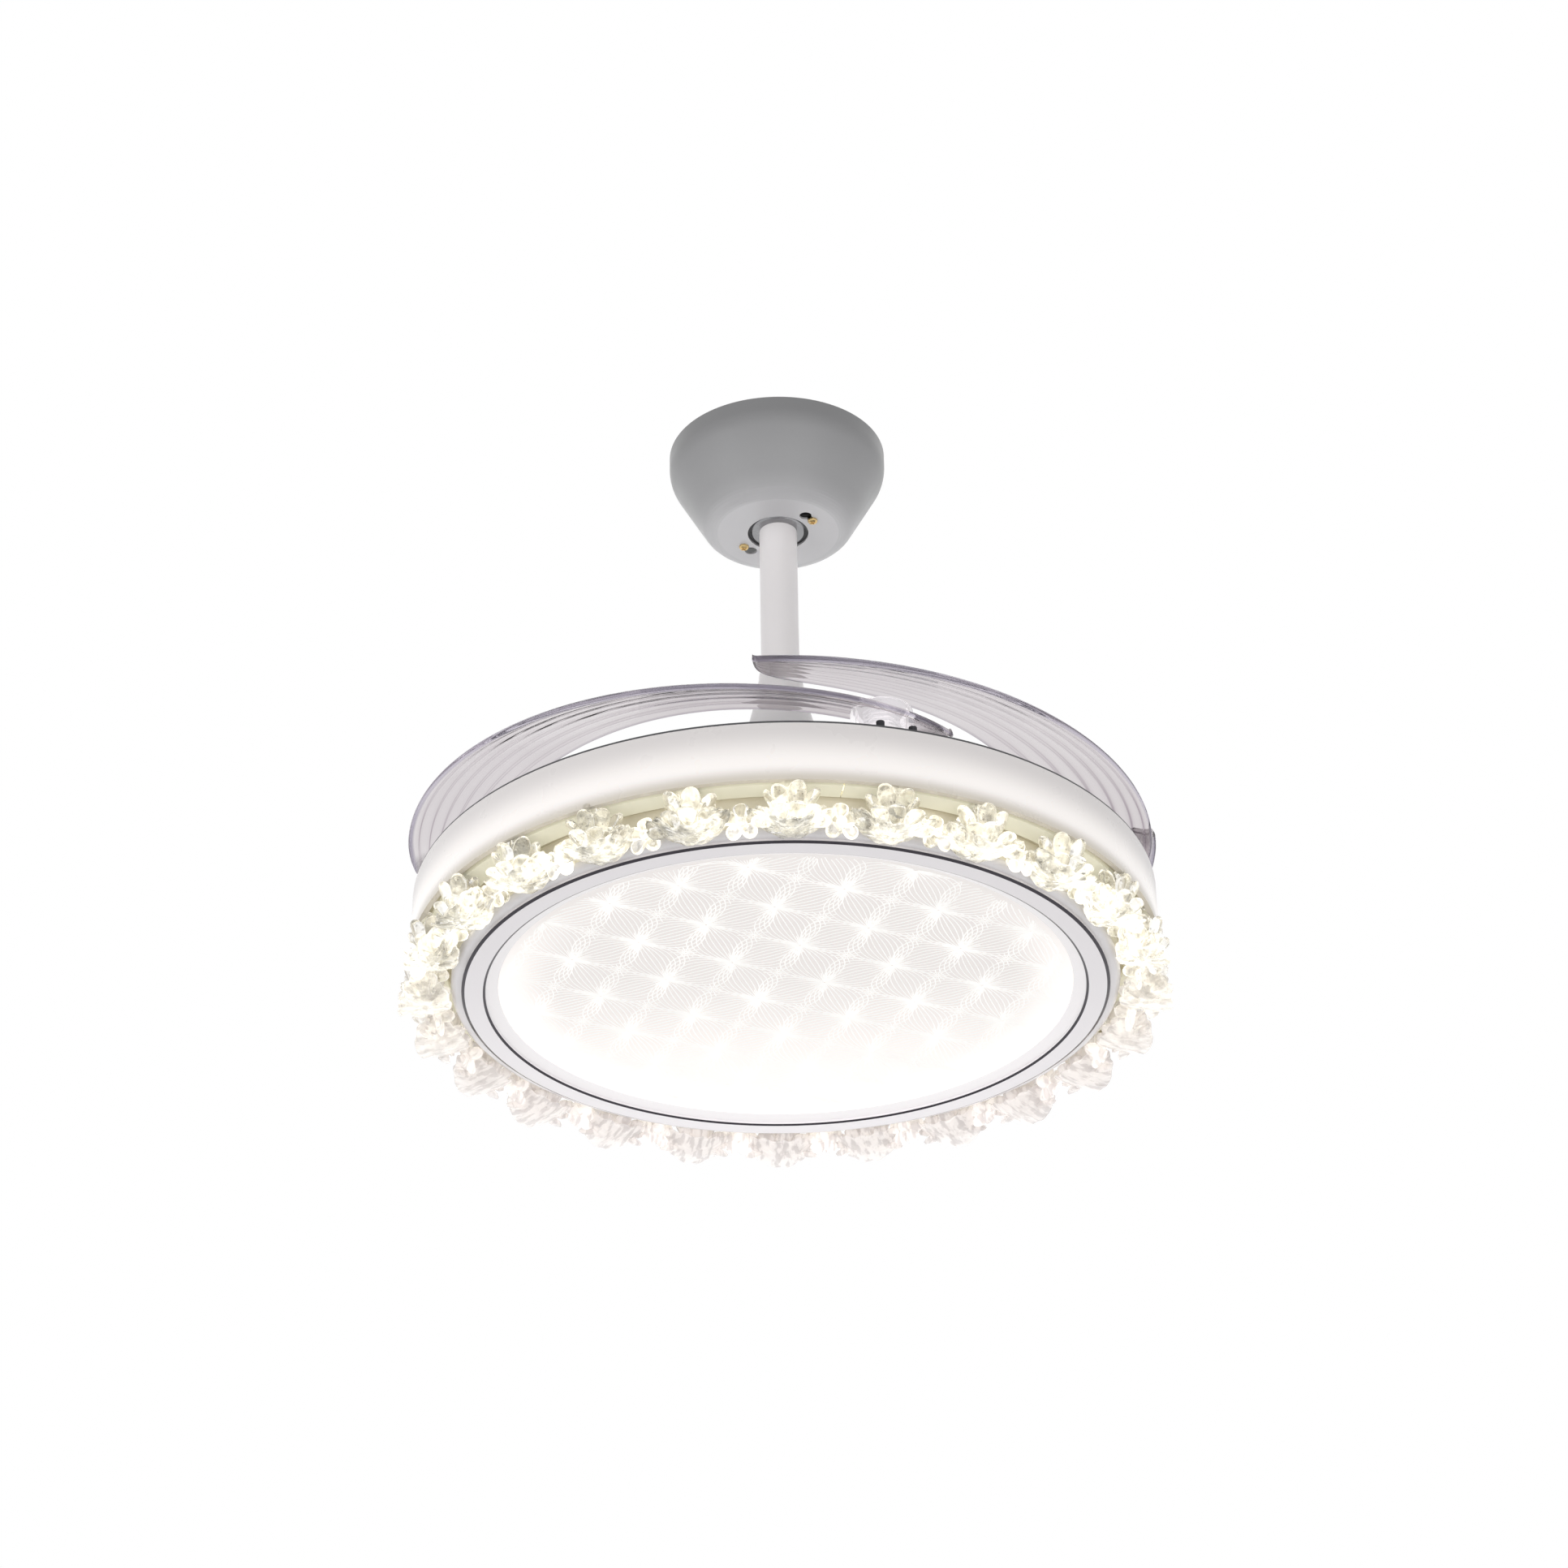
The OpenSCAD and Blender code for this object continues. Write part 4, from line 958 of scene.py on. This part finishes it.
def make_crystals():
    """The ring of big flowers and the ring of buds between them."""
    rng = random.Random(7)
    flowers = bmesh.new()
    buds = bmesh.new()
    step = 360.0 / FLOWERS
    for i in range(FLOWERS):
        turn = FIRST_FLOWER + i * step
        add_flower(flowers, rng, turn + rng.uniform(-0.3, 0.3), rng.uniform(0.95, 1.0))
        add_bud(buds, rng, turn + 0.5 * step, rng.uniform(0.95, 1.0))
    rings = (
        (flowers, "crystal_flower_ring", "crystal_flowers", MATERIALS["crystal_clear"]),
        # The buds get a stronger painted glow
        (buds, "crystal_bud_ring", "crystal_buds", cut_crystal("crystal_bright", 0.18)),
    )
    for mesh, name, node, finish in rings:
        piece = as_object(mesh, name)
        piece.data.shade_smooth()
        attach(piece, "pendant")
        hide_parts(node)
        dress(piece, finish)


make_crystals()


# ---- trim ring and its dark edges -----------------------------------------

# Radii and heights of the raised trim, whose dark edges are shallow chamfers
TRIM_OUT = 208.5
TRIM_IN = 193.2
FLAT_OUT = 206.5
FLAT_IN = 194.8
TRIM_TOP = 2.4

TRIM_FACE = [
    (FLAT_IN, 0),
    (FLAT_OUT, 0),
    (FLAT_OUT, 0.6),
    (TRIM_OUT, 1.0),
    (TRIM_OUT, TRIM_TOP),
    (TRIM_IN, TRIM_TOP),
    (TRIM_IN, 0.85),
    (FLAT_IN, 0.55),
]
CHAMFER_OUTER = [(FLAT_OUT, 0), (TRIM_OUT, 0.9), (TRIM_OUT, 1.0), (FLAT_OUT, 0.6)]
CHAMFER_INNER = [(FLAT_IN, 0), (FLAT_IN, 0.55), (TRIM_IN, 0.85), (TRIM_IN, 0.75)]


def make_trim():
    """The trim's face and its two edges, turned finer than the CAD model's."""
    parts = (
        ("trim_face", "trim_ring", "trim_gloss", TRIM_FACE),
        ("trim_chamfer_outer", "trim_edge_outer", "edge_dark", CHAMFER_OUTER),
        ("trim_chamfer_inner", "trim_edge_inner", "edge_dark", CHAMFER_INNER),
    )
    for name, node, finish, profile in parts:
        piece = lathe(profile, name, steps=360)
        dress(piece, MATERIALS[finish])
        smooth(piece, 20.0)
        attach(piece, "pendant")
        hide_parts(node)


make_trim()


# ---- lattice on the diffuser -----------------------------------------------

# Steps from star to star, the first star's place, stars on each side of it along both
# steps, and the lattice's reach
LATTICE_A = (43.0, -22.0)
LATTICE_B = (15.5, 52.0)
LATTICE_START = (9.4, -64.1)
STARS_A = 6
STARS_B = 5
LATTICE_R = 181.0

# A bundle: lines on each side of its middle one and steps along a line, where on the way
# to the next star the lines start and how long they are, how far the outer ones bow out
# as a share of the other step, and how full the bow is
BUNDLE_LINES = 6
BUNDLE_STEPS = 14
BUNDLE_START = 0.015
BUNDLE_LENGTH = 0.97
BUNDLE_SPREAD = 0.43
BUNDLE_BOW = 0.8

# Rays of a star, and of the small one amid four stars: number, inner and outer radius.
# Every second ray is shorter.
STAR_RAYS = (18, 3.0, 13.0)
SMALL_STAR_RAYS = (14, 0.8, 10.0)
SHORT_RAY = 0.72

# Widths of the lines, and the heights between which they stand
LINE_W = 0.75
WIDE_LINE_W = 0.95
LINE_LOW = 5.22
LINE_HIGH = 5.45


def add_line(mesh, points, width=LINE_W):
    """A fine raised line: a three-sided strip along points on the diffuser."""
    rows = []
    for i, p in enumerate(points):
        ahead = points[min(i + 1, len(points) - 1)] - points[max(i - 1, 0)]
        side = Vector((-ahead.y, ahead.x)).normalized() * width / 2
        rows.append(
            [
                mesh.verts.new((p.x + side.x, p.y + side.y, LINE_HIGH)),
                mesh.verts.new((p.x - side.x, p.y - side.y, LINE_HIGH)),
                mesh.verts.new((p.x, p.y, LINE_LOW)),
            ]
        )
    for a, b in zip(rows, rows[1:]):
        for i in range(3):
            k = (i + 1) % 3
            mesh.faces.new((a[i], a[k], b[k], b[i]))
    mesh.faces.new(reversed(rows[0]))
    mesh.faces.new(rows[-1])


def add_bundle(mesh, start, along, spread, width):
    """Lines that leave a star, bow out and meet again at its neighbour."""
    side = Vector((-along.y, along.x)).normalized() * spread
    for k in range(-BUNDLE_LINES, BUNDLE_LINES + 1):
        line = []
        for m in range(BUNDLE_STEPS + 1):
            t = BUNDLE_START + BUNDLE_LENGTH * m / BUNDLE_STEPS
            bow = (k / BUNDLE_LINES) * math.sin(math.pi * t) ** BUNDLE_BOW
            p = start + along * t + side * bow
            if p.length < LATTICE_R:
                line.append(p)
        if len(line) > 2:
            add_line(mesh, line, width)


def add_rays(mesh, centre, count, inner, outer):
    """Straight rays round a star, long and short in turn."""
    for k in range(count):
        way = math.tau * k / count
        flat = Vector((math.cos(way), math.sin(way)))
        reach = outer if k % 2 else SHORT_RAY * outer
        line = [centre + flat * r for r in (inner, (inner + reach) / 2, reach)]
        if all(p.length < LATTICE_R for p in line):
            add_line(mesh, line)


def make_lattice():
    """Lens-shaped bundles of lines join each star of the lattice to its neighbours."""
    mesh = bmesh.new()
    a = Vector(LATTICE_A)
    b = Vector(LATTICE_B)
    for i in range(-STARS_A, STARS_A + 1):
        for j in range(-STARS_B, STARS_B + 1):
            start = Vector(LATTICE_START) + a * i + b * j
            add_bundle(mesh, start, a, BUNDLE_SPREAD * b.length, WIDE_LINE_W)
            add_bundle(mesh, start, b, BUNDLE_SPREAD * a.length, LINE_W)
            add_rays(mesh, start, *STAR_RAYS)
            add_rays(mesh, start + (a + b) / 2, *SMALL_STAR_RAYS)
    bmesh.ops.recalc_face_normals(mesh, faces=mesh.faces[:])
    piece = as_object(mesh, "diffuser_lattice")
    dress(piece, glowing("lattice_white", (0.80, 0.79, 0.77), 0.42))
    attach(piece, "pendant")


make_lattice()


# ---- camera, light and stage ----------------------------------------------

# Place in metres, turns in radians and focal length in millimetres
CAMERA_PLACE = (0.0, -2.1524, -1.502)
CAMERA_PITCH = 0.5226
CAMERA_ROLL = -0.0174
CAMERA_YAW = 0.0005
CAMERA_LENS = 85.7

# Height of the lamp under the canopy
CANOPY_LAMP_Z = -0.30

# Low lamps round the fan: azimuth in degrees and power, distance, height and aim
LOW_LAMPS = ((-148, 2.8), (-62, 2.2), (92, 5.0))
LOW_LAMP_R = 1.05
LOW_LAMP_Z = -0.55
LOW_LAMP_AIM = (0, 0, -0.36)

# Strength of the sky, and the floor's radius, height and glow as the camera sees it
SKY_BELOW = 1.0
SKY_ABOVE = 0.05
FLOOR_R = 1.3
FLOOR_Z = -2.8
FLOOR_SEEN = 0.78


def add_camera():
    """The photograph's view: from below and in front, with a slight roll."""
    level = math.cos(CAMERA_PITCH)
    aside = math.sin(CAMERA_YAW)
    ahead = math.cos(CAMERA_YAW)
    forward = Vector((aside * level, ahead * level, math.sin(CAMERA_PITCH)))
    right = Vector((ahead, -aside, 0.0))
    up = right.cross(forward)
    turned_right = right * math.cos(CAMERA_ROLL) + up * math.sin(CAMERA_ROLL)
    turned_up = up * math.cos(CAMERA_ROLL) - right * math.sin(CAMERA_ROLL)
    data = bpy.data.cameras.new("camera")
    data.lens = CAMERA_LENS
    data.sensor_width = 36.0
    data.clip_start = 0.05
    camera = bpy.data.objects.new("camera", data)
    bpy.context.scene.collection.objects.link(camera)
    turn = Matrix((turned_right, turned_up, -forward)).transposed().to_4x4()
    camera.matrix_world = Matrix.Translation(CAMERA_PLACE) @ turn
    bpy.context.scene.camera = camera


def add_light(name, place, target, size, power):
    """A round soft lamp that lights the object but isn't seen itself."""
    data = bpy.data.lights.new(name, "AREA")
    data.shape = "DISK"
    data.size = size
    data.energy = power
    lamp = bpy.data.objects.new(name, data)
    bpy.context.scene.collection.objects.link(lamp)
    lamp.visible_camera = False
    lamp.visible_glossy = False
    lamp.visible_transmission = False
    lamp.location = place
    lamp.rotation_euler = (Vector(target) - Vector(place)).to_track_quat("-Z", "Y").to_euler()


def add_lamps():
    """A small lamp under the canopy and three low ones round the fan."""
    add_light("lamp_under_canopy", (0, 0, CANOPY_LAMP_Z), (0, 0, 0), size=0.24, power=1.0)
    for number, (azimuth, power) in enumerate(LOW_LAMPS):
        turn = math.radians(azimuth)
        around = Vector((math.cos(turn), math.sin(turn), 0))
        place = around * LOW_LAMP_R + Vector((0, 0, LOW_LAMP_Z))
        add_light(f"lamp_low_{number}", place, LOW_LAMP_AIM, size=0.7, power=power)


def seen_by_eye(tree):
    """One for rays that come from the camera, straight or by way of gloss and glass."""
    path = tree.nodes.new("ShaderNodeLightPath")
    seen = path.outputs["Is Camera Ray"]
    for other in ("Is Glossy Ray", "Is Transmission Ray"):
        either = tree.nodes.new("ShaderNodeMath")
        either.operation = "MAXIMUM"
        tree.links.new(seen, either.inputs[0])
        tree.links.new(path.outputs[other], either.inputs[1])
        seen = either.outputs[0]
    return seen


def sky_level(tree):
    """Strength of the sky, which falls from below the horizon to above it."""
    place = tree.nodes.new("ShaderNodeTexCoord")
    split = tree.nodes.new("ShaderNodeSeparateXYZ")
    tree.links.new(place.outputs["Generated"], split.inputs[0])
    level = tree.nodes.new("ShaderNodeMapRange")
    level.inputs["From Min"].default_value = -0.5
    level.inputs["From Max"].default_value = 0.5
    level.inputs["To Min"].default_value = SKY_BELOW
    level.inputs["To Max"].default_value = SKY_ABOVE
    tree.links.new(split.outputs["Z"], level.inputs["Value"])
    return level.outputs["Result"]


def add_world():
    """White where it is seen, and elsewhere a soft sky that is brighter below."""
    world = bpy.data.worlds.new("studio")
    bpy.context.scene.world = world
    world.use_nodes = True
    tree = world.node_tree
    tree.nodes.clear()
    light = tree.nodes.new("ShaderNodeBackground")
    white = tree.nodes.new("ShaderNodeBackground")
    for background in (light, white):
        background.inputs["Color"].default_value = (1, 1, 1, 1)
    tree.links.new(sky_level(tree), light.inputs["Strength"])
    choice = tree.nodes.new("ShaderNodeMixShader")
    tree.links.new(seen_by_eye(tree), choice.inputs[0])
    tree.links.new(light.outputs[0], choice.inputs[1])
    tree.links.new(white.outputs[0], choice.inputs[2])
    output = tree.nodes.new("ShaderNodeOutputWorld")
    tree.links.new(choice.outputs[0], output.inputs["Surface"])


def add_floor():
    """A plain pale floor, far enough below to keep clear of the picture."""
    mesh = bmesh.new()
    bmesh.ops.create_circle(mesh, cap_ends=True, radius=FLOOR_R, segments=96)
    data = bpy.data.meshes.new("floor")
    mesh.to_mesh(data)
    mesh.free()
    floor = bpy.data.objects.new("floor", data)
    bpy.context.scene.collection.objects.link(floor)
    floor.location.z = FLOOR_Z
    s = Surface("floor_pale")
    s.set(
        base_color=s.mix(s.noise(3.0), (0.9, 0.9, 0.9), (0.93, 0.93, 0.93)),
        roughness=0.9,
        emission_color=(1.0, 1.0, 1.0),
        emission_strength=s.math("MULTIPLY", seen_by_eye(s.tree), FLOOR_SEEN),
    )
    dress(floor, s)


add_camera()
add_lamps()
add_world()
add_floor()

bpy.context.scene.view_settings.view_transform = "Standard"
